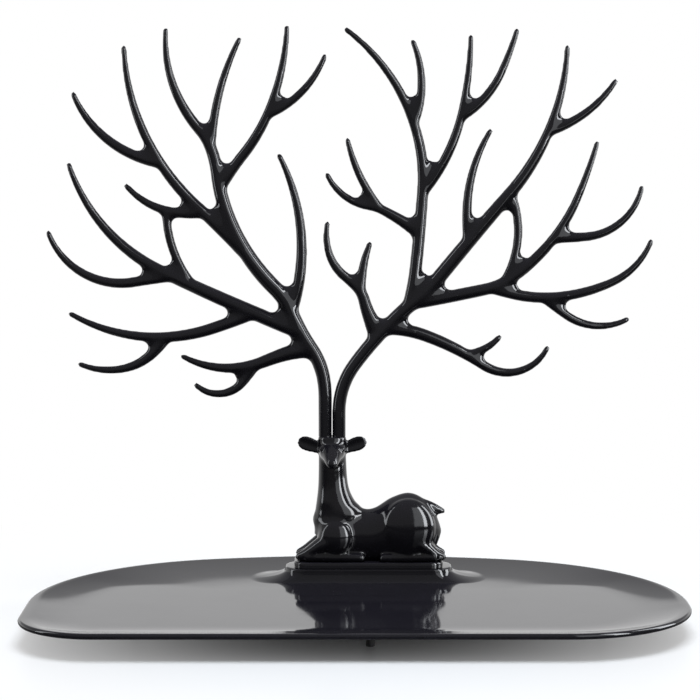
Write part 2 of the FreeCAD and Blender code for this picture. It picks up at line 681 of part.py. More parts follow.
def neck():
    """The upright neck, which runs up into the crown that carries the antlers."""
    rows = rows_of(NECK, "neck", ("up", "along", "half_length", "half_depth"))
    return flat_walled([ring(Vector(along, 0, up), ACROSS, BACKWARD, half_length, half_depth, BODY_SIDES)
                        for up, along, half_length, half_depth in with_middles(rows)])


def head():
    """The head, from the poll forward and down to the nose."""
    rows = rows_of(HEAD, "head", ("along", "forward", "up", "half_width", "half_height"))
    return flat_walled([ring(Vector(along, -forward, up), ACROSS, UP, half_width, half_height, BODY_SIDES)
                        for along, forward, up, half_width, half_height in with_middles(rows)])


def tail():
    """The short pointed tail."""
    rows = rows_of(TAIL, "rear", ("along", "up", "half_height", "half_depth"))
    return flat_walled([ring(Vector(along, 0, up), BACKWARD, UP, half_depth, half_height, SMALL_SIDES)
                        for along, up, half_height, half_depth in rows])


def ear(side):
    """One leaf-shaped ear, held out sideways and tipped up."""
    leaf = flat_walled([
        ring(ACROSS * (side * share * size("ear_length")), BACKWARD, UP,
             thickness * size("ear_thickness") / 2, height * size("ear_height") / 2, SMALL_SIDES)
        for share, height, thickness in EAR])
    leaf.rotate(ORIGIN, BACKWARD, -side * size("ear_lift"))
    leaf.translate(Vector(size("head_along") + side * size("ear_root_spread"), 0, size("ear_up")))
    return leaf


def limb(name, side):
    """A tapered leg through its points."""
    rings = []
    for point_name in LIMB_POINTS:
        along, out, up, half_width = section(name, point_name, ("along", "out", "up", "half_width"))
        rings.append(ring(Vector(along, side * out, up), BACKWARD, UP, half_width, half_width, SMALL_SIDES))
    return flat_walled(rings)


# Latitudes in degrees of the rings of a round mass
LATITUDES = (-72, -38, 0, 38, 72)


def mass(name, side):
    """One of the deer's round masses, built of level rings."""
    along, out, up, half_length, half_depth, half_height = section(
        "mass", name, ("along", "out", "up", "half_length", "half_depth", "half_height"))
    rings = []
    for latitude in LATITUDES:
        share = math.cos(math.radians(latitude))
        lift = half_height * math.sin(math.radians(latitude))
        rings.append(ring(Vector(along, side * out, up + lift), ACROSS, BACKWARD,
                          half_length * share, half_depth * share, BODY_SIDES))
    return flat_walled(rings)


def figure_form():
    """The whole deer as one solid, standing on its slab's top face and cut flat at the crown."""
    forms = [neck(), head(), tail()]
    for side in (-1, 1):
        forms += [mass(name, side) for name in MASSES]
        forms += [limb(name, side) for name in LIMBS]
        forms.append(ear(side))
    whole = torso().multiFuse(forms)
    reach = size("slab_length")
    room = Part.makeBox(2 * reach, 2 * reach, size("crown_up"), Vector(-reach, -reach, 0))
    return whole.common(room)


def d_peg(width, length, flat, top):
    """A round peg with one flat on its front, hanging down from a height."""
    peg = Part.makeCylinder(width / 2, length, Vector(0, 0, top - length))
    spare = Part.makeBox(2 * width, width, length, Vector(-width, -flat - width, top - length))
    return peg.cut(spare)


def build_deer():
    """The lying deer, with a keyed socket for each antler and pilot holes for the screws."""
    pilot = size("screw_width") / 2 + size("pilot_fit")
    depth = size("screw_bite") + size("socket_end_room")
    holes = [Part.makeCylinder(pilot, depth, Vector(along, out, 0))
             for along, out in ((size("screw_front_along"), -size("screw_offset")),
                                (size("screw_rear_along"), size("screw_offset")))]
    for side in (-1, 1):
        socket = d_peg(size("tenon_width") + 2 * size("socket_fit"),
                       size("tenon_length") + size("socket_end_room"),
                       size("tenon_flat") + size("socket_fit"), size("crown_up"))
        socket.translate(Vector(size("head_along") + side * size("stem_spacing") / 2, 0, 0))
        holes.append(socket)
    deer = doc.addObject("Part::Feature", "deer")
    deer.Label = "deer"
    deer.Shape = figure_form().cut(holes)
    place(deer, "Sizes.plinth_across", PLINTH_BACK, FIGURE_UP)
    return deer


class Centreline:
    """A branch's centreline in the antler's plane: a start, a heading and a chain of arcs."""

    def __init__(self, start, heading, length, bends):
        self.length = length
        self.bends = bends
        self.start = start
        self.heading = heading

    def at(self, share):
        """Point and heading at a share of the length."""
        x, z = self.start
        heading = self.heading
        left = share
        for part, bend in self.bends:
            used = min(part, left)
            turn = bend * used / part
            chord = used * self.length * sinc(math.radians(turn / 2))
            direction = math.radians(heading + turn / 2)
            x += chord * math.cos(direction)
            z += chord * math.sin(direction)
            heading += turn
            left -= used
        return (x, z), heading

    def stations(self):
        """Shares of the length at which sections are set, a few degrees of bend apart."""
        shares = [0.0]
        for part, bend in self.bends:
            count = max(1, math.ceil(abs(bend) / SECTION_BEND))
            shares += [shares[-1] + part / count * step for step in range(1, count + 1)]
        return shares


def sinc(angle):
    """Sine of an angle over the angle."""
    return 1.0 if abs(angle) < CLOSE else math.sin(angle) / angle


# Degrees of bend from one section of a tine to the next
SECTION_BEND = 20.0

# Round tip of a tine: shares of its half width, onward from its end and out from its centreline
TIP_ROUND = ((0.8, 0.58),)


def tine(centreline, width, end_width, flare, rounded):
    """A tapered bar along a centreline, wider at its root and round at its tip."""
    rings = []
    for share in centreline.stations():
        (x, z), heading = centreline.at(share)
        half = (width + (end_width - width) * share + (0.0 if share else flare)) / 2
        turn = math.radians(heading)
        middle = Vector(x, 0, z)
        sideways = Vector(-math.sin(turn), 0, math.cos(turn))
        rings.append(ring(middle, sideways, BACKWARD, half, half, TINE_SIDES))
    if rounded:
        onward = Vector(math.cos(turn), 0, math.sin(turn))
        for advance, spread in TIP_ROUND:
            rings.append(ring(middle + onward * (advance * half), sideways, BACKWARD,
                              spread * half, spread * half, TINE_SIDES))
    return flat_walled(rings)


def bridge_centreline(start, end, bend):
    """An arc between two points that turns by a given bend."""
    gap = math.hypot(end[0] - start[0], end[1] - start[1])
    chord_heading = math.degrees(math.atan2(end[1] - start[1], end[0] - start[0]))
    length = gap / sinc(math.radians(bend / 2))
    return Centreline(start, chord_heading - bend / 2, length, ((1, bend),))


def build_antler(side):
    """One antler: all its branches in one moulding, on a keyed tenon."""
    branches, bridge, offset = ANTLERS[side]
    full_width = size("branch_width")
    lines = {}
    bars = []
    for branch in branches:
        start, heading = (offset * size("stem_spacing"), 0.0), branch.heading
        if branch.parent:
            start, parent_heading = lines[branch.parent].at(branch.share)
            heading = parent_heading if branch.heading == ONWARD else branch.heading
        lines[branch.name] = Centreline(start, heading, branch.length * size("branch_length"), branch.bends)
        width = branch.width * full_width
        end_width = size("tine_tip_width") if branch.end_width == TIP else branch.end_width * full_width
        flare = size("tine_root_flare") if branch.parent and branch.heading != ONWARD else 0.0
        bars.append(tine(lines[branch.name], width, end_width, flare, branch.end_width == TIP))
    path = bridge_centreline(lines[bridge.parent].at(bridge.share)[0],
                             lines[bridge.target].at(bridge.target_share)[0], bridge.bend)
    bars.append(tine(path, size("bridge_width"), size("bridge_width"), size("tine_root_flare"), False))
    tenon = d_peg(size("tenon_width"), size("tenon_length"), size("tenon_flat"), 0.0)
    tenon.translate(Vector(offset * size("stem_spacing"), 0, 0))
    antler = doc.addObject("Part::Feature", f"{side}_antler")
    antler.Label = f"{side}_antler"
    antler.Shape = bars[0].multiFuse(bars[1:] + [tenon])
    place(antler, "Sizes.plinth_across + Sizes.head_along", PLINTH_BACK,
          f"{FIGURE_UP} + Sizes.crown_up")
    return antler


def check(item):
    """Stop unless an object came out as a valid shape."""
    if {"Invalid", "Error"} & set(item.State):
        raise RuntimeError(f"{item.Label} failed: {item.State}")
    if hasattr(item, "Shape") and (item.Shape.isNull() or not item.Shape.isValid()):
        raise RuntimeError(f"{item.Label} has no valid shape")


sub_parts = [build_tray(), build_slab()]
sub_parts += [build_foot(label, across, back) for label, (across, back) in FEET.items()]
sub_parts += [build_screws(), build_deer()]
sub_parts += [build_antler(side) for side in ANTLERS]
doc.recompute()
for item in doc.Objects:
    check(item)

os.makedirs("parts", exist_ok=True)
for item in sub_parts:
    print(f"{item.Label}: {len(item.Shape.Solids)} solid(s), {item.Shape.Volume / 1000:.2f} cm3")
    item.Shape.exportStep(f"parts/{item.Label}.step")
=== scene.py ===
"""Looks of a jewelry tree: a lying deer on a shallow tray, its antlers spread into a tree of tines.

Sizes are millimetres in the classes and metres in the meshes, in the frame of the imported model.
"""
import json
import logging
import math
from contextlib import contextmanager
from dataclasses import dataclass, field
from enum import Enum
from typing import Callable, Iterator, Sequence

import bmesh
import bpy
import numpy as np
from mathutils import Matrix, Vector

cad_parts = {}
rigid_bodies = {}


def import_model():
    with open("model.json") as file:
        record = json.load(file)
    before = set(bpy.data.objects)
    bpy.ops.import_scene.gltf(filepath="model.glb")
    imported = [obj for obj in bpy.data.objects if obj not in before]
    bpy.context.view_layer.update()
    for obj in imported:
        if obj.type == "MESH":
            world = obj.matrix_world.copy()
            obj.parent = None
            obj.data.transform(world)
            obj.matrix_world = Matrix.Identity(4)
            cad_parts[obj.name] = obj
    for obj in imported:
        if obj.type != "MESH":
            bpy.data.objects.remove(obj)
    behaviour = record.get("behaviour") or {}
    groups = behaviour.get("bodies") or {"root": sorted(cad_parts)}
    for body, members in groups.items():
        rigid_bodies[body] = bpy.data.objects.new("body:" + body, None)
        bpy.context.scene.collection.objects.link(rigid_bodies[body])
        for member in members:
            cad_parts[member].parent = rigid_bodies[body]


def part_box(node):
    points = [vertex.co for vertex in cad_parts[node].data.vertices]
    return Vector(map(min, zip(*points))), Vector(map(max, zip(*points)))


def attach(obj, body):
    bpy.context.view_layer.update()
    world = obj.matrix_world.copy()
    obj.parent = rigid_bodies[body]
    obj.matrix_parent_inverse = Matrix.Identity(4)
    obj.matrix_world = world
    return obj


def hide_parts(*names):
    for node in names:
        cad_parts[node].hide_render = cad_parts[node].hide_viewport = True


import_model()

MM = 0.001
SLIVER = 0.00002
log = logging.getLogger("jewelry_tree")

Point = tuple[float, float, float]
Spot = tuple[float, float]
Row = tuple[float, ...]
ALONG, DEEP, UP = (1.0, 0.0, 0.0), (0.0, 1.0, 0.0), (0.0, 0.0, 1.0)


class Body(Enum):
    """Rigid bodies that pieces ride on."""

    STAND = "stand"
    LEFT_ANTLER = "left_antler"
    RIGHT_ANTLER = "right_antler"


class Slot(Enum):
    """Material slots of the record."""

    GLOSS = "black_gloss"
    RUBBER = "foot_rubber"
    STEEL = "screw_steel"


class Side(Enum):
    """The two sides of the head, as the viewer sees them."""

    LEFT = -1
    RIGHT = 1


# Mesh making


@contextmanager
def editing(mesh: bpy.types.Mesh) -> Iterator[bmesh.types.BMesh]:
    """Open a mesh for editing and write it back at the end.

    Args:
        mesh: The mesh to edit.

    Returns:
        The open mesh, for a with statement.
    """
    work = bmesh.new()
    work.from_mesh(mesh)
    yield work
    work.to_mesh(mesh)
    work.free()


def set_out(name: str, data: bpy.types.ID) -> bpy.types.Object:
    """Put a new object into the scene.

    Args:
        name: Name of the object.
        data: Its mesh, lamp or camera.

    Returns:
        The new object.
    """
    item = bpy.data.objects.new(name, data)
    bpy.context.scene.collection.objects.link(item)
    return item


def evaluated(item: bpy.types.Object) -> bpy.types.Mesh:
    """Mesh of an object with its modifiers carried out."""
    bpy.context.view_layer.update()
    graph = bpy.context.evaluated_depsgraph_get()
    return bpy.data.meshes.new_from_object(item.evaluated_get(graph))


def towards(degrees: float) -> Spot:
    """Unit step in a heading."""
    return math.cos(math.radians(degrees)), math.sin(math.radians(degrees))


@dataclass
class Shell:
    """Corners and faces of one closed form, in millimetres."""

    corners: list[Sequence[float]] = field(default_factory=list)
    faces: list[tuple[int, ...]] = field(default_factory=list)

    def add(self, other: "Shell") -> None:
        """Take in the corners and faces of another form."""
        shift = len(self.corners)
        self.corners.extend(other.corners)
        self.faces.extend(tuple(index + shift for index in face) for face in other.faces)

    def move(self, offset: Vector) -> None:
        """Shift the whole form."""
        self.corners = [(x + offset.x, y + offset.y, z + offset.z) for x, y, z in self.corners]

    def to_mesh(self, name: str) -> bpy.types.Mesh:
        """Make a Blender mesh in metres.

        Args:
            name: Name of the mesh.

        Returns:
            The new mesh, with its faces turned outwards.
        """
        mesh = bpy.data.meshes.new(name)
        mesh.from_pydata([Vector(corner) * MM for corner in self.corners], [], self.faces)
        with editing(mesh) as work:
            bmesh.ops.recalc_face_normals(work, faces=work.faces)
        return mesh


def loft(rings: Sequence[np.ndarray], crown: float = 0.35) -> Shell:
    """Skin a row of rings and close both ends with a low dome.

    Args:
        rings: Rings of the same number of points, in order along the form.
        crown: Height of the end domes, as a share of the end ring's mean half width.

    Returns:
        The closed form.
    """
    count = len(rings[0])
    shell = Shell([tuple(point) for ring in rings for point in ring])
    for step in range(len(rings) - 1):
        low = step * count
        for side in range(count):
            after = (side + 1) % count
            shell.faces.append((low + side, low + after, low + count + after, low + count + side))
    for ring, inner, start in ((rings[0], rings[1], 0), (rings[-1], rings[-2], (len(rings) - 1) * count)):
        middle = ring.mean(axis=0)
        outward = middle - inner.mean(axis=0)
        outward /= np.linalg.norm(outward)
        reach = np.linalg.norm(ring - middle, axis=1).mean()
        apex = len(shell.corners)
        shell.corners.append(tuple(middle + outward * reach * crown))
        shell.faces.extend((start + side, start + (side + 1) % count, apex) for side in range(count))
    return shell


def ellipse(centre: Point, across: Point, other: Point, half_across: float, half_other: float,
            count: int = 32) -> np.ndarray:
    """Points of an ellipse about a centre.

    Args:
        centre: Middle of the ring.
        across: First unit direction.
        other: Second unit direction.
        half_across: Half size along the first direction.
        half_other: Half size along the second direction.
        count: Number of points.

    Returns:
        An array of points.
    """
    turn = np.linspace(0, 2 * math.pi, count, endpoint=False)
    return (np.array(centre) + np.outer(half_across * np.cos(turn), across)
            + np.outer(half_other * np.sin(turn), other))


def fine_rows(rows: Sequence[Row], steps: int) -> list[np.ndarray]:
    """Rows of sizes on a smooth curve through the given ones.

    Args:
        rows: Sizes at a few sections.
        steps: Number of steps from one section to the next.

    Returns:
        All the rows, the given ones among them.
    """
    table = np.array([rows[0], *rows, rows[-1]], dtype=float)
    fine = []
    for before, here, there, after in zip(table, table[1:], table[2:], table[3:]):
        for step in range(steps):
            t = step / steps
            fine.append(0.5 * (2 * here + (there - before) * t
                               + (2 * before - 5 * here + 4 * there - after) * t ** 2
                               + (3 * here - before - 3 * there + after) * t ** 3))
    return fine + [table[-1]]


class Modeller:
    """Melts overlapping closed forms into one skin, as a moulding has it."""

    SMOOTH_IN = 0.6
    SMOOTH_OUT = 0.62
    ROUNDS_PER_NORMAL = 4

    def __init__(self, mesh: bpy.types.Mesh) -> None:
        """Read a mesh's points and links.

        Args:
            mesh: The mesh to work on.
        """
        self.mesh = mesh
        self.points = np.empty(len(mesh.vertices) * 3)
        mesh.vertices.foreach_get("co", self.points)
        self.points = self.points.reshape(-1, 3)
        links = np.empty(len(mesh.edges) * 2, dtype=np.int64)
        mesh.edges.foreach_get("vertices", links)
        self.first, self.second = links.reshape(-1, 2).T
        self.count = np.bincount(links, minlength=len(self.points))[:, None]

    @classmethod
    def grid(cls, mesh: bpy.types.Mesh, grain: float) -> "Modeller":
        """Unite all the closed forms of a mesh in a grid of small cells.

        Args:
            mesh: The overlapping forms; the mesh is used up.
            grain: Size of a cell in millimetres.

        Returns:
            A modeller on the united skin.
        """
        name = mesh.name
        mesh.name = f"{name}_forms"
        holder = set_out(name, mesh)
        remesh = holder.modifiers.new("union", "REMESH")
        remesh.mode = "VOXEL"
        remesh.voxel_size = grain * MM
        skin = evaluated(holder)
        skin.name = name
        bpy.data.objects.remove(holder)
        bpy.data.meshes.remove(mesh)
        return cls(skin)

    def regrid(self, grain: float) -> "Modeller":
        """Lay the skin out anew, where moving it has stretched its faces."""
        self.write()
        return Modeller.grid(self.mesh, grain)

    def pull(self) -> np.ndarray:
        """Step from each point to the mean of its neighbours."""
        total = np.empty_like(self.points)
        for axis in range(3):
            values = self.points[:, axis]
            total[:, axis] = (np.bincount(self.first, values[self.second], len(values))
                              + np.bincount(self.second, values[self.first], len(values)))
        return total / self.count - self.points

    def normals(self) -> np.ndarray:
        """Outward direction at each point."""
        self.write()
        found = np.empty(len(self.points) * 3)
        self.mesh.vertices.foreach_get("normal", found)
        return found.reshape(-1, 3)

    def write(self) -> None:
        """Put the points back into the mesh."""
        self.mesh.vertices.foreach_set("co", self.points.ravel())
        self.mesh.update()

    def melt(self, rounds: int) -> "Modeller":
        """Even out small bumps without shrinking the form.

        Args:
            rounds: Number of smoothing rounds.

        Returns:
            The modeller itself.
        """
        for _ in range(rounds):
            self.points += self.SMOOTH_IN * self.pull()
            self.points -= self.SMOOTH_OUT * self.pull()
        return self

    def fill_hollows(self, rounds: int, rate: float = 0.6,
                     where: Callable[[np.ndarray], np.ndarray] | None = None) -> "Modeller":
        """Raise creases only, which makes a web in each fork.

        Args:
            rounds: Number of filling rounds.
            rate: Share of the step that is taken in a round.
            where: Gives each point in millimetres its share of the rate; all of it where left out.

        Returns:
            The modeller itself.
        """
        weight = rate * (where(self.points / MM) if where else np.ones(len(self.points)))
        for number in range(rounds):
            if number % self.ROUNDS_PER_NORMAL == 0:
                outward = self.normals()
            rise = np.einsum("ij,ij->i", self.pull(), outward)
            self.points += (weight * np.maximum(rise, 0.0))[:, None] * outward
        return self

    def shrink(self, depth: float) -> "Modeller":
        """Move the skin inwards.

        Args:
            depth: Depth in millimetres.

        Returns:
            The modeller itself.
        """
        self.points -= depth * MM * self.normals()
        return self

    def finish(self) -> bpy.types.Mesh:
        """Write the points and return the mesh."""
        self.write()
        return self.mesh


class Workshop:
    """Puts finished meshes on their bodies."""

    @staticmethod
    def piece(name: str, mesh: bpy.types.Mesh, body: Body, slot: Slot, *nodes: str) -> bpy.types.Object:
        """Make an object that rides on a body and stands for CAD nodes.

        Args:
            name: Name of the piece.
            mesh: Its mesh.
            body: The body that it moves with.
            slot: The record's slot for its finish; not used.
            nodes: CAD nodes that it replaces.

        Returns:
            The new object.
        """
        item = set_out(name, mesh)
        mesh.shade_smooth()
        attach(item, body.value)
        if nodes:
            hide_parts(*nodes)
        log.info("%s: %d faces on %s", name, len(mesh.polygons), body.value)
        return item

    @staticmethod
    def dress(item: bpy.types.Object, material: bpy.types.Material) -> None:
        """Give a piece its one material."""
        item.data.materials.clear()
        item.data.materials.append(material)

    @staticmethod
    def cut(item: bpy.types.Object, tools: Shell) -> None:
        """Cut closed forms out of a piece."""
        cutter = set_out("cutter", tools.to_mesh("cutter"))
        change = item.modifiers.new("cut", "BOOLEAN")
        change.object = cutter
        change.operation = "DIFFERENCE"
        mesh = evaluated(item)
        item.modifiers.remove(change)
        with editing(mesh) as work:
            bmesh.ops.remove_doubles(work, verts=work.verts, dist=SLIVER)
            bmesh.ops.triangulate(work, faces=[face for face in work.faces if len(face.verts) > 4])
            bmesh.ops.dissolve_degenerate(work, dist=SLIVER, edges=work.edges)
        whole, item.data = item.data, mesh
        mesh.shade_smooth()
        spare = cutter.data
        bpy.data.objects.remove(cutter)
        bpy.data.meshes.remove(spare)
        bpy.data.meshes.remove(whole)

    @staticmethod
    def level(mesh: bpy.types.Mesh, height: float) -> None:
        """Cut away what lies under a height in metres and close the cut."""
        with editing(mesh) as work:
            everything = [*work.verts, *work.edges, *work.faces]
            found = bmesh.ops.bisect_plane(work, geom=everything, plane_co=(0, 0, height),
                                           plane_no=(0, 0, -1), clear_outer=True)
            rim = [item for item in found["geom_cut"] if isinstance(item, bmesh.types.BMEdge)]
            bmesh.ops.edgeloop_fill(work, edges=rim)
            bmesh.ops.recalc_face_normals(work, faces=work.faces)

    @staticmethod
    def crisp(item: bpy.types.Object, degrees: float) -> None:
        """Keep edges sharper than an angle crisp in a smooth mesh."""
        item.data.set_sharp_from_angle(angle=math.radians(degrees))


class Moulding:
    """A sub-assembly of one object, which has one finish."""

    item: bpy.types.Object

    def dress(self, material: bpy.types.Material) -> None:
        """Give the object its finish."""
        Workshop.dress(self.item, material)


# Finishes


class Effects:
    """Shader groups that more than one finish uses."""

    def __init__(self) -> None:
        """Build both groups once."""
        self.ripple = self._ripple()
        self.haze = self._haze()

    @staticmethod
    def _sockets(group: bpy.types.NodeTree, inputs: dict[str, float], output: str) -> None:
        """Give a group its coordinates, its value inputs and its one output."""
        group.interface.new_socket("Place", in_out="INPUT", socket_type="NodeSocketVector")
        for name, value in inputs.items():
            socket = group.interface.new_socket(name, in_out="INPUT", socket_type="NodeSocketFloat")
            socket.default_value = value
        group.interface.new_socket(output, in_out="OUTPUT", socket_type="NodeSocketFloat")

    def _ripple(self) -> bpy.types.NodeTree:
        """Slow waviness and fine pitting that a mould leaves.

        Returns:
            A group with a Height output.
        """
        group = bpy.data.node_groups.new("mould_ripple", "ShaderNodeTree")
        self._sockets(group, {"Waves": 90.0, "Pits": 2600.0, "Pit Share": 0.08}, "Height")
        nodes, links = group.nodes, group.links
        entry = nodes.new("NodeGroupInput")
        leave = nodes.new("NodeGroupOutput")
        waves = nodes.new("ShaderNodeTexNoise")
        waves.inputs["Detail"].default_value = 1.0
        pits = nodes.new("ShaderNodeTexNoise")
        pits.inputs["Detail"].default_value = 2.0
        mix = nodes.new("ShaderNodeMath")
        mix.operation = "MULTIPLY_ADD"
        links.new(entry.outputs["Place"], waves.inputs["Vector"])
        links.new(entry.outputs["Place"], pits.inputs["Vector"])
        links.new(entry.outputs["Waves"], waves.inputs["Scale"])
        links.new(entry.outputs["Pits"], pits.inputs["Scale"])
        links.new(pits.outputs["Fac"], mix.inputs[0])
        links.new(entry.outputs["Pit Share"], mix.inputs[1])
        links.new(waves.outputs["Fac"], mix.inputs[2])
        links.new(mix.outputs[0], leave.inputs["Height"])
        return group

    def _haze(self) -> bpy.types.NodeTree:
        """Uneven sheen from handling.

        Returns:
            A group with a Roughness output.
        """
        group = bpy.data.node_groups.new("handling_haze", "ShaderNodeTree")
        self._sockets(group, {"Scale": 60.0, "Least": 0.05, "Most": 0.12}, "Roughness")
        nodes, links = group.nodes, group.links
        entry = nodes.new("NodeGroupInput")
        leave = nodes.new("NodeGroupOutput")
        clouds = nodes.new("ShaderNodeTexNoise")
        clouds.inputs["Detail"].default_value = 4.0
        clouds.inputs["Roughness"].default_value = 0.6
        spread = nodes.new("ShaderNodeMapRange")
        spread.inputs["From Min"].default_value = 0.35
        spread.inputs["From Max"].default_value = 0.75
        links.new(entry.outputs["Place"], clouds.inputs["Vector"])
        links.new(entry.outputs["Scale"], clouds.inputs["Scale"])
        links.new(clouds.outputs["Fac"], spread.inputs["Value"])
        links.new(entry.outputs["Least"], spread.inputs["To Min"])
        links.new(entry.outputs["Most"], spread.inputs["To Max"])
        links.new(spread.outputs["Result"], leave.inputs["Roughness"])
        return group


@dataclass(frozen=True)
class Finish:
    """One surface finish: its colours, its sheen and its relief."""

    name: str
    dark: Point
    light: Point
    least_rough: float
    most_rough: float
    haze_scale: float
    waves: float
    pits: float
    pit_share: float
    relief: float
    metallic: float = 0.0

    @staticmethod
    def effect(tree: bpy.types.NodeTree, group: bpy.types.NodeTree, place: bpy.types.NodeSocket,
               values: dict[str, float]) -> bpy.types.Node:
        """Place a shared group in a material.

        Args:
            tree: The material's nodes.
            group: The shared group.
            place: Coordinates that it works on.
            values: Its inputs in this material.

        Returns:
            The group's node.
        """
        node = tree.nodes.new("ShaderNodeGroup")
        node.node_tree = group
        tree.links.new(place, node.inputs["Place"])
        for name, value in values.items():
            node.inputs[name].default_value = value
        return node

    def material(self, effects: Effects) -> bpy.types.Material:
        """Build the material.

        Args:
            effects: The shared shader groups.

        Returns:
            A material with a Principled BSDF.
        """
        material = bpy.data.materials.new(self.name)
        material.use_nodes = True
        tree = material.node_tree
        nodes, links = tree.nodes, tree.links
        shader = nodes["Principled BSDF"]
        shader.inputs["Metallic"].default_value = self.metallic
        place = nodes.new("ShaderNodeTexCoord").outputs["Object"]

        haze = self.effect(tree, effects.haze, place, {
            "Scale": self.haze_scale, "Least": self.least_rough, "Most": self.most_rough})
        links.new(haze.outputs["Roughness"], shader.inputs["Roughness"])
        ripple = self.effect(tree, effects.ripple, place, {
            "Waves": self.waves, "Pits": self.pits, "Pit Share": self.pit_share})

        bump = nodes.new("ShaderNodeBump")
        bump.inputs["Strength"].default_value = 1.0
        bump.inputs["Distance"].default_value = self.relief * MM
        links.new(ripple.outputs["Height"], bump.inputs["Height"])
        links.new(bump.outputs["Normal"], shader.inputs["Normal"])

        shade = nodes.new("ShaderNodeMix")
        shade.data_type = "RGBA"
        shade.inputs["A"].default_value = (*self.dark, 1.0)
        shade.inputs["B"].default_value = (*self.light, 1.0)
        links.new(ripple.outputs["Height"], shade.inputs["Factor"])
        links.new(shade.outputs["Result"], shader.inputs["Base Color"])
        return material


BLACK_PLASTIC = Finish(
    "black_gloss_plastic", dark=(0.0100, 0.0095, 0.0135), light=(0.0140, 0.0132, 0.0185),
    least_rough=0.05, most_rough=0.11, haze_scale=55.0, waves=70.0,
    pits=2400.0, pit_share=0.05, relief=0.012)
DEER_PLASTIC = Finish(
    "black_wavy_plastic", dark=(0.0092, 0.0087, 0.0122), light=(0.0132, 0.0125, 0.0172),
    least_rough=0.06, most_rough=0.13, haze_scale=90.0, waves=150.0,
    pits=2400.0, pit_share=0.04, relief=0.04)
FOOT_RUBBER = Finish(
    "foot_rubber", dark=(0.016, 0.016, 0.017), light=(0.028, 0.028, 0.029),
    least_rough=0.55, most_rough=0.8, haze_scale=220.0, waves=400.0,
    pits=5200.0, pit_share=0.6, relief=0.05)
TURNED_STEEL = Finish(
    "turned_steel", dark=(0.52, 0.52, 0.53), light=(0.66, 0.66, 0.66),
    least_rough=0.22, most_rough=0.4, haze_scale=400.0, waves=900.0,
    pits=9000.0, pit_share=0.4, relief=0.01, metallic=1.0)


# Antlers


@dataclass(frozen=True)
class Branch:
    """One branch: where it leaves its parent, its heading, its widths and its chain of arcs.

    Each arc is a share of the branch's length and a bend in degrees.
    A heading of None goes on from the parent's end.
    """

    name: str
    parent: str
    share: float
    heading: float | None
    length: float
    width: float
    bends: tuple[Spot, ...]
    end_width: float = 2.1


@dataclass(frozen=True)
class Bridge:
    """An arc that joins one branch to another."""

    parent: str
    share: float
    target: str
    target_share: float
    bend: float
    width: float = 3.6


LEFT_BRANCHES = (
    Branch("stem", "", 0, 90, 54, 5.4, ((0.28, 0), (0.13, 8), (0.26, 27), (0.33, -13)), 6.4),
    Branch("main", "stem", 1, None, 123.8, 6.4,
           ((0.08, 24), (0.24, -22), (0.18, -17), (0.09, 15), (0.06, 20), (0.35, -48))),
    Branch("inner_tine", "stem", 0.97, 71.5, 65, 4.8, ((1, 46),)),
    Branch("low_branch", "stem", 0.68, 192, 53.5, 5.4, ((0.35, 10), (0.65, -52))),
    Branch("low_twig", "low_branch", 0.42, 235, 30.8, 4.0, ((0.3, -5), (0.7, -98))),
    Branch("side_branch", "stem", 0.81, 157.7, 118.2, 6.0, ((0.5, -3), (0.5, -48))),
    Branch("side_hook", "side_branch", 0.47, 187, 58.6, 4.4, ((0.26, 3), (0.74, -82))),
    Branch("sweep_branch", "side_branch", 0.17, 202, 76.8, 5.0, ((0.22, -3), (0.78, -50))),
    Branch("sweep_twig", "sweep_branch", 0.49, 246, 39.5, 3.9, ((0.5, -52), (0.5, -39))),
    Branch("fan_branch", "main", 0.20, 133, 101.2, 5.0, ((0.30, 4), (0.70, -46))),
    Branch("fan_spur", "fan_branch", 0.27, 192, 34, 4.0, ((1, -63),)),
    Branch("fan_hook", "fan_branch", 0.52, 171, 46.2, 4.3, ((1, -60),)),
    Branch("crown_branch", "main", 0.45, 60, 70.8, 4.5, ((0.23, -9), (0.30, 17.5), (0.47, 19.5))),
    Branch("crown_fork", "crown_branch", 0.49, 22, 34, 3.6, ((1, 48),)),
    Branch("main_fork", "main", 0.58, 87.5, 45.5, 3.8, ((1, -25),)),
)
LEFT_BRIDGE = Bridge("side_branch", 0.39, "fan_spur", 0.42, -40)

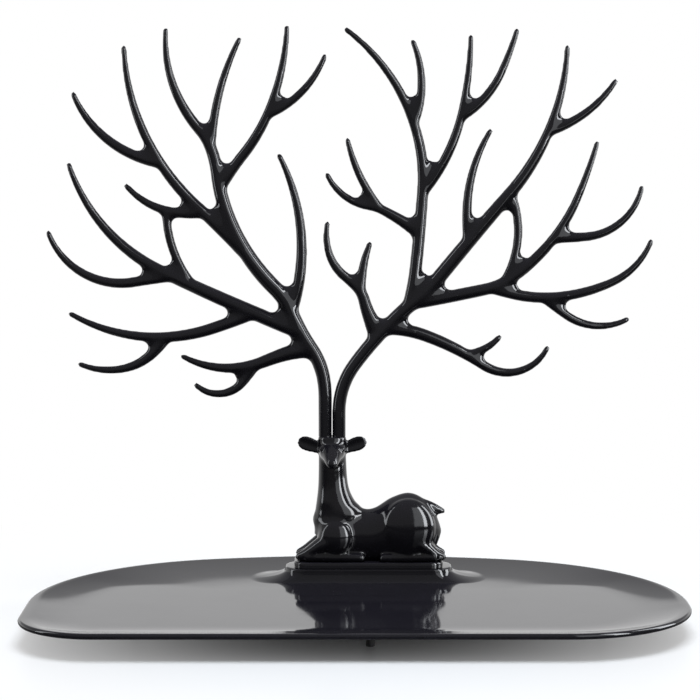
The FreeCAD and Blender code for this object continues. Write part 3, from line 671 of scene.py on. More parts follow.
RIGHT_BRANCHES = (
    Branch("stem", "", 0, 90, 66, 5.4, ((0.15, 0), (0.30, -36), (0.55, -15)), 6.0),
    Branch("main", "stem", 1, None, 119, 6.0, ((0.10, 12), (0.36, -2), (0.54, 40))),
    Branch("inner_branch", "stem", 0.69, 124, 51.5, 4.8,
           ((0.29, -20), (0.13, 32), (0.11, 6), (0.24, -38), (0.23, -26))),
    Branch("inner_twig", "inner_branch", 0.36, 90, 20.4, 4.2, ((1, -22),)),
    Branch("low_branch", "stem", 0.74, 0, 73, 5.2, ((0.22, -20), (0.36, -14), (0.42, 102))),
    Branch("low_twig", "low_branch", 0.47, 8, 16, 3.6, ((1, 43),)),
    Branch("beam", "stem", 0.93, 74, 120, 5.2, ((0.13, 10), (0.25, 2), (0.20, 20), (0.42, 38))),
    Branch("beam_spur", "beam", 0.25, 146, 45, 4.1, ((0.36, 6), (0.14, 20), (0.50, -60))),
    Branch("beam_spur_fork", "beam_spur", 0.40, 128, 31.2, 3.6, ((1, -26),)),
    Branch("beam_fork", "beam", 0.61, 68, 33.7, 3.8, ((1, 47),)),
    Branch("crown_branch", "beam", 0.38, 50, 65.9, 4.2, ((0.55, 28.5), (0.45, 11))),
    Branch("crown_fork", "crown_branch", 0.51, 30, 42, 3.8, ((0.57, 36), (0.43, 8))),
    Branch("main_spur", "main", 0.26, 100, 46, 4.0, ((1, -42),)),
    Branch("main_fork", "main", 0.71, 16, 34.2, 3.6, ((1, 43),)),
    Branch("side_branch", "stem", 0.96, 10, 106, 5.2, ((0.28, 2), (0.10, 22), (0.40, 33.5), (0.22, 7))),
    Branch("side_fork", "side_branch", 0.61, -5, 44.4, 3.7, ((0.28, 10), (0.72, 76))),
    Branch("sweep_branch", "side_branch", 0.30, -16, 73, 4.6,
           ((0.12, 2), (0.25, 20), (0.30, 18), (0.33, 47))),
    Branch("sweep_twig", "sweep_branch", 0.29, -38, 38, 3.8, ((0.3, 2), (0.7, 66))),
)
RIGHT_BRIDGE = Bridge("main", 0.47, "side_branch", 0.35, -54)


@dataclass(frozen=True)
class Centreline:
    """A chain of arcs in the antler's plane."""

    start: Spot
    heading: float
    length: float
    bends: tuple[Spot, ...]

    def at(self, share: float) -> tuple[Spot, float]:
        """Find a place on the line.

        Args:
            share: Share of the length.

        Returns:
            The point and the heading there.
        """
        x, z = self.start
        heading = self.heading
        left = share
        for part, bend in self.bends:
            used = min(part, left)
            turn = bend * used / part
            chord = used * self.length * np.sinc(math.radians(turn / 2) / math.pi)
            direction = math.radians(heading + turn / 2)
            x += chord * math.cos(direction)
            z += chord * math.sin(direction)
            heading += turn
            left -= used
        return (x, z), heading


@dataclass(frozen=True)
class Tenon:
    """The keyed peg under an antler and the socket that takes it."""

    spacing: float = 5.5
    width: float = 3.4
    length: float = 13.6
    flat: float = 1.2
    lead: float = 0.5
    fit: float = 0.1
    end_room: float = 0.4
    mouth: float = 1.0

    def section(self, crown: Vector, side: Side, height: float, grow: float) -> np.ndarray:
        """One D-shaped ring.

        Args:
            crown: Middle of the deer's crown, in millimetres.
            side: Side of the crown.
            height: Height over the crown.
            grow: How far the ring lies outside the peg.

        Returns:
            The ring's points.
        """
        half = self.width / 2 + grow
        middle = (crown.x + side.value * self.spacing / 2, crown.y, crown.z + height)
        ring = ellipse(middle, ALONG, DEEP, half, half, 48)
        ring[:, 1] = np.maximum(ring[:, 1], crown.y - self.flat - grow)
        return ring

    def peg(self, crown: Vector, side: Side) -> Shell:
        """The peg, with a lead at its lower end."""
        return loft([self.section(crown, side, 0.0, 0.0),
                     self.section(crown, side, self.lead - self.length, 0.0),
                     self.section(crown, side, -self.length, -self.lead)], 0.0)

    def socket(self, crown: Vector, side: Side) -> Shell:
        """The form to cut from the crown."""
        return loft([self.section(crown, side, self.mouth, self.fit),
                     self.section(crown, side, -self.length - self.end_room, self.fit)], 0.0)


TENON = Tenon()


@dataclass
class Antler:
    """One antler: a moulding of all its tines on a keyed tenon.

    The tines are swollen by the web's radius, united and shrunk again, which leaves a round web
    in each fork.
    """

    side: Side
    branches: tuple[Branch, ...]
    bridge: Bridge
    body: Body
    split_height: float = 24.0
    split_gap: float = 0.06
    step: float = 1.0
    taper: float = 1.9
    web: float = 1.7
    root_flare: float = 1.8
    flare_reach: float = 5.5
    sunk: float = 6.0
    grain: float = 0.5
    web_rounds: int = 45
    web_passes: int = 2
    web_melt: int = 8
    shrink_steps: int = 6
    shrink_melt: int = 5
    even_melt: int = 20
    root_growth: float = 0.3
    tip_turns: Row = (30.0, 55.0, 75.0)
    bridge_angle: float = 45.0
    crease: float = 60.0
    tenon_crease: float = 30.0

    def width(self, branch: Branch, share: float) -> float:
        """Width of a branch at a share of its length, which falls off towards its end."""
        return branch.width + (branch.end_width - branch.width) * share ** self.taper

    def ring(self, place: Spot, heading: float, half_side: float, half_thick: float) -> np.ndarray:
        """One swollen ring across a bar."""
        right, rise = towards(heading)
        return ellipse((place[0], 0.0, place[1]), (-rise, 0.0, right), DEEP, half_side + self.web,
                       half_thick + self.web, 24)

    def tine(self, branch: Branch, line: Centreline, parent_half: float, angle: float,
             free: bool) -> Shell:
        """Skin one tapered bar, flared where it leaves its parent.

        Args:
            branch: Its widths.
            line: Its centreline.
            parent_half: Half width of the parent at the fork; 0 where the bar goes on from its parent.
            angle: Angle of the fork in degrees; only a fork wider than 45 has a flare.
            free: Whether the end is a round tip.

        Returns:
            The closed, swollen bar.
        """
        rings = []
        if not branch.parent:
            below = (line.start[0], line.start[1] - self.sunk)
            rings.append(self.ring(below, line.heading, branch.width / 2, branch.width / 2))
        spread = self.root_flare * max(0.0, -math.cos(math.radians(2 * angle)))
        last = 1 - branch.end_width / 2 / line.length if free else 1.0
        for share in np.linspace(0, last, max(6, round(line.length / self.step))):
            place, heading = line.at(share)
            half, flare = self.width(branch, share) / 2, 0.0
            if parent_half:
                away = share * line.length
                half = min(half, parent_half + self.root_growth * away)
                fade = math.exp(-max(away - parent_half, 0.0) / self.flare_reach)
                flare = spread * min(away / parent_half, 1.0) * fade
            rings.append(self.ring(place, heading, half + flare, half))
        if not free:
            return loft(rings, 0.0)
        right, rise = towards(heading)
        for turn in np.radians(self.tip_turns):
            ahead = (half + self.web) * math.sin(turn)
            size = (half + self.web) * math.cos(turn) - self.web
            tip = (place[0] + ahead * right, place[1] + ahead * rise)
            rings.append(self.ring(tip, heading, size, size))
        return loft(rings, 0.1)

    def lines(self) -> dict[str, Centreline]:
        """Lay out all the branches' centrelines."""
        lines: dict[str, Centreline] = {}
        for branch in self.branches:
            start, heading = (self.side.value * TENON.spacing / 2, 0.0), 90.0
            if branch.parent:
                start, heading = lines[branch.parent].at(branch.share)
            if branch.heading is not None:
                heading = branch.heading
            lines[branch.name] = Centreline(start, heading, branch.length, branch.bends)
        return lines

    def forms(self) -> Shell:
        """All the bars of the antler, overlapping at their forks."""
        lines = self.lines()
        shell = Shell()
        named = {branch.name: branch for branch in self.branches}
        carried = {branch.parent for branch in self.branches if branch.heading is None}
        for branch in self.branches:
            half = angle = 0.0
            if branch.parent and branch.heading is not None:
                half = self.width(named[branch.parent], branch.share) / 2
                angle = branch.heading - lines[branch.parent].at(branch.share)[1]
            shell.add(self.tine(branch, lines[branch.name], half, angle, branch.name not in carried))
        arc = self.bridge
        start = lines[arc.parent].at(arc.share)[0]
        end = lines[arc.target].at(arc.target_share)[0]
        chord = math.degrees(math.atan2(end[1] - start[1], end[0] - start[0]))
        length = math.dist(start, end) / float(np.sinc(math.radians(arc.bend / 2) / math.pi))
        line = Centreline(start, chord - arc.bend / 2, length, ((1, arc.bend),))
        bar = Branch("bridge", arc.parent, arc.share, line.heading, length, arc.width, line.bends,
                     arc.width)
        half = self.width(named[arc.parent], arc.share) / 2
        shell.add(self.tine(bar, line, half, self.bridge_angle, False))
        return shell

    def build(self, crown: Vector) -> bpy.types.Object:
        """Make the antler's skin and its tenon.

        Args:
            crown: Middle of the deer's crown, in millimetres.

        Returns:
            The antler's object.
        """
        name = self.body.value
        shell = self.forms()
        shell.move(crown)
        modeller = Modeller.grid(shell.to_mesh(f"{name}_skin"), self.grain).melt(self.even_melt)
        for _ in range(self.shrink_steps):
            modeller.shrink(self.web / self.shrink_steps).melt(self.shrink_melt)
        for _ in range(self.web_passes):
            modeller = modeller.regrid(self.grain).melt(self.web_melt).fill_hollows(self.web_rounds)
        modeller = modeller.regrid(self.grain).melt(self.even_melt)
        self.split(modeller, crown)
        mesh = modeller.finish()
        Workshop.level(mesh, crown.z * MM)
        self.item = Workshop.piece(f"{name}_skin", mesh, self.body, Slot.GLOSS, name)
        Workshop.crisp(self.item, self.crease)
        peg = TENON.peg(crown, self.side).to_mesh(f"{name}_tenon")
        self.tenon = Workshop.piece(f"{name}_tenon", peg, self.body, Slot.GLOSS)
        Workshop.crisp(self.tenon, self.tenon_crease)
        return self.item

    def split(self, modeller: Modeller, crown: Vector) -> None:
        """Keep the lower stem on its own side of the middle, flat against the other stem."""
        points = modeller.points
        low = points[:, 2] < (crown.z + self.split_height) * MM
        limit = (crown.x + self.side.value * self.split_gap / 2) * MM
        keep = np.minimum if self.side is Side.LEFT else np.maximum
        points[low, 0] = keep(points[low, 0], limit)

    def dress(self, material: bpy.types.Material) -> None:
        """Give the skin and the tenon the same finish."""
        Workshop.dress(self.item, material)
        Workshop.dress(self.tenon, material)


# Deer


@dataclass
class Deer(Moulding):
    """The lying deer: trunk, neck, head, legs, ears and tail in one skin."""

    torso: tuple[Row, ...] = (
        (-21.5, 15.8, 3.4, 2.2),
        (-19.2, 14.6, 7.2, 4.6),
        (-14.0, 11.0, 11.0, 7.4),
        (-5.0, 9.6, 10.8, 6.8),
        (2.0, 9.8, 10.8, 6.6),
        (9.0, 11.8, 13.0, 8.2),
        (16.0, 12.4, 14.4, 8.6),
        (22.0, 12.0, 12.4, 7.2),
        (26.4, 11.6, 7.6, 4.4),
        (28.4, 11.4, 3.0, 1.8),
    )
    neck: tuple[Row, ...] = (
        (10.0, -13.2, 8.4, 7.2),
        (17.0, -11.8, 9.8, 6.8),
        (20.5, -11.9, 9.3, 6.6),
        (24.0, -13.2, 7.5, 6.2),
        (30.0, -14.1, 6.0, 5.4),
        (40.0, -14.4, 5.5, 5.0),
        (49.6, -14.5, 5.5, 4.4),
    )
    haunch: Row = (15.8, 4.8, 13.2, 10.8, 5.5, 12.0)
    shoulder: Row = (-12.8, 4.9, 9.6, 7.2, 4.7, 7.6)
    fore_leg: tuple[Row, ...] = ((-13.0, 4.8, 9.0, 4.8), (-19.5, 4.8, 6.4, 3.6), (-25.6, 4.6, 2.5, 2.5),
                                 (-28.6, 4.6, 1.8, 1.2))
    fore_shin: tuple[Row, ...] = ((-25.0, 5.8, 1.9, 1.9), (-13.0, 6.3, 1.8, 1.8), (-3.4, 6.3, 1.6, 1.6),
                                  (-1.6, 6.3, 1.4, 0.8))
    hind_leg: tuple[Row, ...] = ((19.0, 5.0, 9.0, 4.6), (24.0, 5.0, 5.4, 3.3), (27.8, 4.8, 2.3, 2.3),
                                 (30.4, 4.8, 1.7, 1.1))
    hind_shin: tuple[Row, ...] = ((27.0, 5.9, 1.9, 1.9), (16.0, 6.5, 1.8, 1.8), (6.4, 6.5, 1.6, 1.6),
                                  (4.6, 6.5, 1.4, 0.8))
    head: tuple[Row, ...] = (
        (-14.5, -4.8, 45.0, 3.0, 2.8),
        (-14.5, -1.6, 44.9, 5.4, 5.0),
        (-14.5, 2.6, 44.0, 5.2, 4.8),
        (-14.5, 6.4, 42.3, 3.7, 3.7),
        (-14.5, 9.8, 40.5, 2.5, 2.4),
        (-14.5, 11.4, 39.9, 1.5, 1.4),
    )
    tail: tuple[Row, ...] = ((20.0, 22.4, 2.8, 2.6), (25.8, 20.4, 2.5, 2.0), (30.3, 19.4, 0.8, 0.8))
    ear: tuple[Row, ...] = ((0.0, 0.8, 0.9), (0.3, 0.88, 1.0), (0.62, 1.0, 1.0), (0.86, 0.84, 0.8),
                            (1.0, 0.42, 0.4))
    ear_length: float = 10.2
    ear_height: float = 5.8
    ear_thickness: float = 3.0
    ear_dish: float = 1.4
    ear_root: float = 3.8
    ear_up: float = 44.4
    ear_lift: float = 19.0
    head_along: float = -14.5
    eye: Row = (4.1, 4.4, 45.0, 1.15)
    saddles: tuple[Row, ...] = ((17.0, 3.0, 34.0, 6.0, 8.0, 4.0), (9.0, 3.0, 26.0, 6.0, -16.0, 3.0))
    saddle_rounds: int = 140
    saddle_rate: float = 0.7
    crease_rounds: int = 8
    first_melt: int = 16
    last_melt: int = 10
    crease: float = 70.0
    grain: float = 0.45

    def along_form(self, rows: Sequence[Row], out: float = 0.0, steps: int = 6) -> Shell:
        """A form along the deer from rows of place, height and half sizes."""
        return loft([ellipse((along, out, up), DEEP, UP, half_depth, half_height)
                     for along, up, half_height, half_depth in fine_rows(rows, steps)])

    def limb(self, rows: Sequence[Row], side: Side) -> Shell:
        """A leg through points with a half width each."""
        return loft([ellipse((along, side.value * out, up), DEEP, UP, half, half)
                     for along, out, up, half in fine_rows(rows, 6)], 0.6)

    def mass(self, row: Row, side: Side) -> Shell:
        """A round mass, as rings up its height."""
        along, out, up, half_length, half_depth, half_height = row
        rings = []
        for latitude in np.radians(np.linspace(-84, 84, 25)):
            share = math.cos(latitude)
            rings.append(ellipse((along, side.value * out, up + half_height * math.sin(latitude)),
                                 ALONG, DEEP, half_length * share, half_depth * share, 48))
        return loft(rings, 0.1)

    def ear_form(self, side: Side) -> Shell:
        """One leaf-shaped ear, held out sideways, tipped up and dished in front."""
        lift = math.radians(self.ear_lift)
        outward = np.array((side.value * math.cos(lift), 0.0, math.sin(lift)))
        upward = np.array((-side.value * math.sin(lift), 0.0, math.cos(lift)))
        root = np.array((self.head_along + side.value * self.ear_root, 0.0, self.ear_up))
        rings = []
        for share, height, thickness in fine_rows(self.ear, 8):
            middle = root + outward * share * self.ear_length
            ring = ellipse(middle, DEEP, upward, thickness * self.ear_thickness / 2,
                           height * self.ear_height / 2, 28)
            across = (ring - middle) @ upward / (height * self.ear_height / 2)
            ring[:, 1] += np.where(ring[:, 1] < 0, self.ear_dish * thickness * (1 - across ** 2), 0.0)
            rings.append(ring)
        return loft(rings, 0.4)

    def eye_form(self, side: Side) -> Shell:
        """One eye, set half into the head."""
        out, forward, up, half = self.eye
        rings = [ellipse((self.head_along + side.value * out, -forward, up + half * math.sin(latitude)),
                         ALONG, DEEP, half * math.cos(latitude), half * math.cos(latitude), 20)
                 for latitude in np.radians(np.linspace(-80, 80, 13))]
        return loft(rings, 0.1)

    def forms(self) -> Shell:
        """All the overlapping forms of the deer."""
        shell = self.along_form(self.torso)
        shell.add(loft([ellipse((along, 0.0, up), ALONG, DEEP, half_length, half_depth, 40)
                        for up, along, half_length, half_depth in fine_rows(self.neck, 8)], 0.0))
        shell.add(loft([ellipse((along, -forward, up), ALONG, UP, half_width, half_height)
                        for along, forward, up, half_width, half_height in fine_rows(self.head, 6)]))
        shell.add(self.along_form(self.tail))
        for side in Side:
            shell.add(self.mass(self.haunch, side))
            shell.add(self.mass(self.shoulder, side))
            for rows in (self.fore_leg, self.fore_shin, self.hind_leg, self.hind_shin):
                shell.add(self.limb(rows, side))
            shell.add(self.ear_form(side))
            shell.add(self.eye_form(side))
        return shell

    def saddle(self, points: np.ndarray) -> np.ndarray:
        """Share of the filling at each point: behind the neck and on the breast.

        Args:
            points: Points from the middle of the slab's top face.

        Returns:
            A share for each point; it fades out at the zones' lower, upper and rear ends.
        """
        along, up = points[:, 0], points[:, 2]
        shares = [np.clip((up - low) / low_fade, 0, 1) * np.clip((high - up) / high_fade, 0, 1)
                  * np.clip((rear - along) / rear_fade, 0, 1)
                  for low, low_fade, high, high_fade, rear, rear_fade in self.saddles]
        return np.max(shares, axis=0)

    def build(self, origin: Vector, crown: Vector) -> bpy.types.Object:
        """Make the deer's skin and cut the antlers' sockets into its crown.

        Args:
            origin: Middle of the slab's top face, in millimetres.
            crown: Middle of the crown, in millimetres.

        Returns:
            The deer's object.
        """
        shell = self.forms()
        shell.move(origin)
        modeller = Modeller.grid(shell.to_mesh("deer_skin"), self.grain).melt(self.first_melt)
        modeller.fill_hollows(self.crease_rounds)
        modeller.fill_hollows(self.saddle_rounds, self.saddle_rate,
                              lambda points: self.saddle(points - np.array(origin)))
        mesh = modeller.melt(self.last_melt).finish()
        self.item = Workshop.piece("deer_skin", mesh, Body.STAND, Slot.GLOSS, "deer")
        sockets = Shell()
        for side in Side:
            sockets.add(TENON.socket(crown, side))
        Workshop.cut(self.item, sockets)
        Workshop.crisp(self.item, self.crease)
        return self.item


# Tray


@dataclass
class Tray(Moulding):
    """The tray: floor, upturned rim and a hollow plinth that flows into the floor.

    The rim's band widens to the back's, from where the edge faces backwards by the sine back_from,
    over a span of back_over.
    """

    length: float = 250.0
    depth: float = 146.0
    wall: float = 2.2
    floor_height: float = 7.7
    rim_band: float = 22.0
    back_band: float = 50.0
    rim_rise: float = 2.4
    lip: float = 1.1
    back_radius: float = 250.0
    side_radius: float = 85.0
    front_left_radius: float = 30.0
    front_right_radius: float = 50.0
    plinth_across: float = 4.4
    plinth_back: float = 38.0
    plinth_height: float = 5.2
    plinth_length: float = 66.5
    plinth_depth: float = 19.0
    plinth_corner: float = 7.5
    plinth_end_flare: float = 12.5
    plinth_front_flare: float = 1.2
    hollow_length: float = 54.0
    hollow_depth: float = 13.0
    plinth_end_flat: float = 0.1
    plinth_top_inset: float = 0.3
    plinth_edge: float = 0.14
    plinth_edge_inset: float = 0.09
    plinth_riser: float = 1.3
    plinth_toe: float = 2.2
    back_from: float = 0.55
    back_over: float = 0.42
    crease: float = 35.0
    pitch: float = 1.6

    def arcs(self) -> list[tuple[np.ndarray, float, float, float]]:
        """Centre, radius and both end angles of the plan's arcs, in order from the front right corner."""
        half_length = self.length / 2
        half_depth = self.depth / 2
        side_x = half_length - self.side_radius
        back_y = half_depth - self.back_radius
        side_y = back_y + math.sqrt((self.back_radius - self.side_radius) ** 2 - side_x ** 2)
        lean = math.degrees(math.atan2(side_y - back_y, side_x))
        left, right = self.front_left_radius, self.front_right_radius
        return [
            (np.array((half_length - right, right - half_depth)), right, -90, 0),
            (np.array((side_x, side_y)), self.side_radius, 0, lean),
            (np.array((0.0, back_y)), self.back_radius, lean, 180 - lean),
            (np.array((-side_x, side_y)), self.side_radius, 180 - lean, 180),
            (np.array((left - half_length, left - half_depth)), left, 180, 270),
        ]

    def outline(self) -> tuple[np.ndarray, np.ndarray]:
        """Evenly spaced points of the plan and their outward directions."""
        points: list[np.ndarray] = []
        outwards: list[np.ndarray] = []
        arcs = self.arcs()
        for number, (centre, radius, start, end) in enumerate(arcs):
            count = round(math.radians(end - start) * radius / self.pitch)
            for turn in np.radians(np.linspace(start, end, count, endpoint=False)):
                outwards.append(np.array((math.cos(turn), math.sin(turn))))
                points.append(centre + radius * outwards[-1])
            outward = np.array(towards(end))
            after, after_radius = arcs[(number + 1) % len(arcs)][:2]
            first = centre + radius * outward
            last = after + after_radius * outward
            steps = max(1, round(np.linalg.norm(last - first) / self.pitch))
            for step in range(steps if np.linalg.norm(last - first) > self.pitch else 0):
                outwards.append(outward)
                points.append(first + (last - first) * step / steps)
        return np.array(points), np.array(outwards)

    def inset(self, points: np.ndarray) -> tuple[np.ndarray, np.ndarray]:
        """Distance of points from the plan's edge, and how far that edge faces backwards.

        Args:
            points: Points in plan.

        Returns:
            Both values for each point.
        """
        half_length, half_depth = self.length / 2, self.depth / 2
        arcs = self.arcs()
        x, y = points.T
        found = np.full(len(points), np.inf)
        facing = np.zeros(len(points))
        right, left = arcs[0][0], arcs[-1][0]
        straights = ((half_depth + y, (x >= left[0]) & (x <= right[0]), -1.0),
                     (half_length - x, (y >= right[1]) & (y <= arcs[1][0][1]), 0.0),
                     (half_length + x, (y >= left[1]) & (y <= arcs[3][0][1]), 0.0))
        for gap, within, backward in straights:
            near = within & (gap < found)
            found[near] = gap[near]
            facing[near] = backward
        for centre, radius, start, end in arcs:
            offset = points - centre
            far = np.linalg.norm(offset, axis=1)
            turn = (np.degrees(np.arctan2(offset[:, 1], offset[:, 0])) - start) % 360
            near = (turn <= end - start) & (radius - far < found)
            found[near] = (radius - far)[near]
            facing[near] = offset[near, 1] / np.maximum(far[near], 1e-6)
        return found, facing

    def rise(self, inset: np.ndarray, band: np.ndarray | float) -> np.ndarray:
        """Lift of the rim at a distance from its edge."""
        return self.rim_rise * np.clip(1 - (inset - self.lip) / (band - self.lip), 0, 1) ** 2

    def top(self, points: np.ndarray) -> np.ndarray:
        """Points of the upper face over points in plan; the back slopes up over a wider band."""
        inset, facing = self.inset(points)
        share = np.clip((facing - self.back_from) / self.back_over, 0, 1)
        band = self.rim_band + (self.back_band - self.rim_band) * share ** 2 * (3 - 2 * share)
        return np.column_stack((points, self.floor_height + self.rise(inset, band)))

    def reach(self, away: np.ndarray, length: float, depth: float, corner: float) -> np.ndarray:
        """Distance from the plinth's middle to a rounded rectangle, along some directions."""
        flat = np.array((length / 2 - corner, depth / 2 - corner))
        low = np.zeros(len(away))
        high = np.full(len(away), length)
        for _ in range(40):
            guess = (low + high) / 2
            over = np.abs(away * guess[:, None]) - flat
            beyond = np.linalg.norm(np.maximum(over, 0), axis=1) + np.minimum(over.max(axis=1), 0)
            outside = beyond > corner
            high[outside] = guess[outside]
            low[~outside] = guess[~outside]
        return low[:, None]

    def plinth_section(self) -> list[Spot]:
        """Shares of the plinth's height and of its flare, from the top down to the floor."""
        section = [(1.0, -self.plinth_top_inset)]
        for turn in np.radians((90, 60, 30)):
            section.append((1 - self.plinth_edge * (1 - math.sin(turn)),
                            -self.plinth_edge_inset * (1 - math.cos(turn))))
        section += [((1 - self.plinth_edge) * share ** self.plinth_riser, (1 - share) ** self.plinth_toe)
                    for share in np.linspace(0.97, 0, 18)]
        return section

    def rings(self) -> list[np.ndarray]:
        """Rings of points from the plateau over the floor, the rim and the underside into the hollow."""
        edge, outward = self.outline()
        middle = np.array((self.plinth_across, self.plinth_back))
        away = edge - middle
        away /= np.linalg.norm(away, axis=1)[:, None]

        def rectangle(flare: float) -> np.ndarray:
            """Outline of the plinth at a share of its flare; its ends are round at the foot."""
            length = self.plinth_length + 2 * flare * self.plinth_end_flare
            depth = self.plinth_depth + 2 * flare * self.plinth_front_flare
            round_end = depth / 2 - self.plinth_end_flat
            corner = self.plinth_corner + (round_end - self.plinth_corner) * max(flare, 0.0)
            return middle + away * self.reach(away, length, depth, corner)

        foot = rectangle(1.0)
        low = self.top(foot)[:, 2]
        plateau = self.floor_height + self.plinth_height
        found = [np.column_stack((rectangle(flare), low + (plateau - low) * lift))
                 for lift, flare in self.plinth_section()]
        brink = edge - outward * self.lip
        found += [self.top(foot + (brink - foot) * share) for share in np.linspace(0, 1, 34)[1:]]
        high = found[-1][:, 2]
        under = self.floor_height - self.wall + self.rise(np.array(self.lip), self.rim_band)
        for turn in np.linspace(0, math.pi, 11)[1:-1]:
            height = (high + under) / 2 + (high - under) / 2 * math.cos(turn)
            found.append(np.column_stack((brink + outward * self.lip * math.sin(turn), height)))
        for inset in np.linspace(self.lip, self.rim_band, 12):
            level = self.floor_height - self.wall + self.rise(np.array(inset), self.rim_band)
            found.append(np.column_stack((edge - outward * inset, np.full(len(edge), level))))
        hollow = middle + away * self.reach(away, self.hollow_length, self.hollow_depth,
                                            self.plinth_corner / 2)
        underside = self.floor_height - self.wall
        for height in (underside, underside + self.plinth_height):
            found.append(np.column_stack((hollow, np.full(len(edge), height))))
        return found

    def build(self) -> bpy.types.Object:
        """Make the tray's closed shell."""
        mesh = loft(self.rings(), 0.0).to_mesh("tray_shell")
        self.item = Workshop.piece("tray_shell", mesh, Body.STAND, Slot.GLOSS, "tray")
        Workshop.crisp(self.item, self.crease)
        return self.item


# Slab, feet and screws


@dataclass
class Slab(Moulding):
    """The plate under the deer, with rolled edges."""

    length: float = 59.2
    depth: float = 18.0
    corner: float = 5.0
    edge: float = 0.6
    foot_edge: float = 0.3
    crease: float = 40.0

    def build(self, low: Vector, high: Vector) -> bpy.types.Object:
        """Make the plate inside its node's box.

        Args:
            low: Lowest corner in millimetres.
            high: Highest corner in millimetres.

        Returns:
            The plate's object.
        """
        middle = (low + high) / 2
        rings = []
        levels = [(low.z, self.foot_edge), (low.z + self.foot_edge, 0.0)]
        levels += [(high.z - self.edge * (1 - math.sin(turn)), self.edge * (1 - math.cos(turn)))
                   for turn in np.radians((0, 30, 60, 90))]
        flat_x, flat_y = self.length / 2 - self.corner, self.depth / 2 - self.corner
        for height, inset in levels:
            ring = []
            radius = self.corner - inset
            for x, y, start in ((1, -1, -90), (1, 1, 0), (-1, 1, 90), (-1, -1, 180)):
                for turn in np.radians(np.linspace(start, start + 90, 12)):
                    ring.append((middle.x + x * flat_x + radius * math.cos(turn),
                                 middle.y + y * flat_y + radius * math.sin(turn), height))
            rings.append(np.array(ring))
        mesh = loft(rings, 0.0).to_mesh("deer_base_plate")
        self.item = Workshop.piece("deer_base_plate", mesh, Body.STAND, Slot.GLOSS, "deer_base")
        Workshop.crisp(self.item, self.crease)
        return self.item


def turned(section: Sequence[Spot], middle: Vector, sides: int = 32) -> Shell:
    """Turn a round form about an upright axis.

    Args:
        section: Half widths and heights, from the foot up.
        middle: Foot of the axis in millimetres.
        sides: Number of points round the form.

    Returns:
        The closed form.
    """
    return loft([ellipse((middle.x, middle.y, middle.z + height), ALONG, DEEP, half, half, sides)
                 for half, height in section], 0.0)


@dataclass
class Feet:
    """The four rubber stubs under the floor."""

    nodes: tuple[str, ...] = ("foot_front", "foot_back", "foot_left", "foot_right")
    section: tuple[Spot, ...] = (
        (0.7, 0.25), (1.05, 0.2), (1.15, 0.0), (1.4, 0.0), (1.6, 0.15), (1.7, 0.5), (1.62, 2.4),
        (1.64, 4.0), (1.7, 4.9), (1.7, 5.5))
    crease: float = 50.0

    def build(self) -> list[bpy.types.Object]:
        """Turn each stub at its node's place."""
        self.items = []
        for node in self.nodes:
            low, high = (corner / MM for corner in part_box(node))
            middle = Vector(((low.x + high.x) / 2, (low.y + high.y) / 2, low.z))
            mesh = turned(self.section, middle).to_mesh(f"{node}_stub")
            item = Workshop.piece(f"{node}_stub", mesh, Body.STAND, Slot.RUBBER, node)
            Workshop.crisp(item, self.crease)
            self.items.append(item)
        return self.items

    def dress(self, material: bpy.types.Material) -> None:
        """Give every stub its finish."""
        for item in self.items:
            Workshop.dress(item, material)


@dataclass
class Screws(Moulding):
    """The two pan-head screws that hold the deer from under the plinth."""

    shank: float = 2.4
    head: float = 4.6
    head_height: float = 1.5
    recess_width: float = 0.7
    recess_length: float = 2.6
    recess_depth: float = 0.8
    recess_clear: float = 0.5
    dome: tuple[Spot, ...] = ((0.9, 0.0), (0.35, 0.12), (0.08, 0.45), (0.0, 0.9))
    point: float = 1.2
    point_half: float = 0.3
    crease: float = 35.0
    points: tuple[Spot, ...] = ((-8.0, -3.6), (14.0, 3.6))

    def cross(self, middle: Vector, height: float) -> np.ndarray:
        """Outline of a cross recess at a height over the screw's foot."""
        long, short = self.recess_length / 2, self.recess_width / 2
        arm = np.array(((short, -short), (long, -short), (long, short)))
        outline: list[np.ndarray] = []
        for turn in np.radians((0, 90, 180, 270)):
            spin = np.array(((math.cos(turn), math.sin(turn)), (-math.sin(turn), math.cos(turn))))
            outline.extend(arm @ spin)
        return np.array([(middle.x + x, middle.y + y, middle.z + height) for x, y in outline])

    def build(self, origin: Vector) -> bpy.types.Object:
        """Turn both screws and cut their cross recesses.

        Args:
            origin: Middle of the slab's top face, in millimetres.

        Returns:
            One object with both screws.
        """
        low, high = (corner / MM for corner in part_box("base_screws"))
        half, top = self.head / 2, high.z - low.z
        section = [(half - inset, height) for inset, height in self.dome]
        section += [(half, self.head_height), (self.shank / 2, self.head_height),
                    (self.shank / 2, top - self.point), (self.point_half, top)]
        recess = (-self.recess_clear, self.recess_depth)
        heads, tools = Shell(), Shell()
        for along, out in self.points:
            middle = Vector((origin.x + along, origin.y + out, low.z))
            heads.add(turned(section, middle))
            tools.add(loft([self.cross(middle, height) for height in recess], 0.0))
        mesh = heads.to_mesh("base_screw_pair")
        self.item = Workshop.piece("base_screw_pair", mesh, Body.STAND, Slot.STEEL, "base_screws")
        Workshop.cut(self.item, tools)
        Workshop.crisp(self.item, self.crease)
        return self.item


# Studio


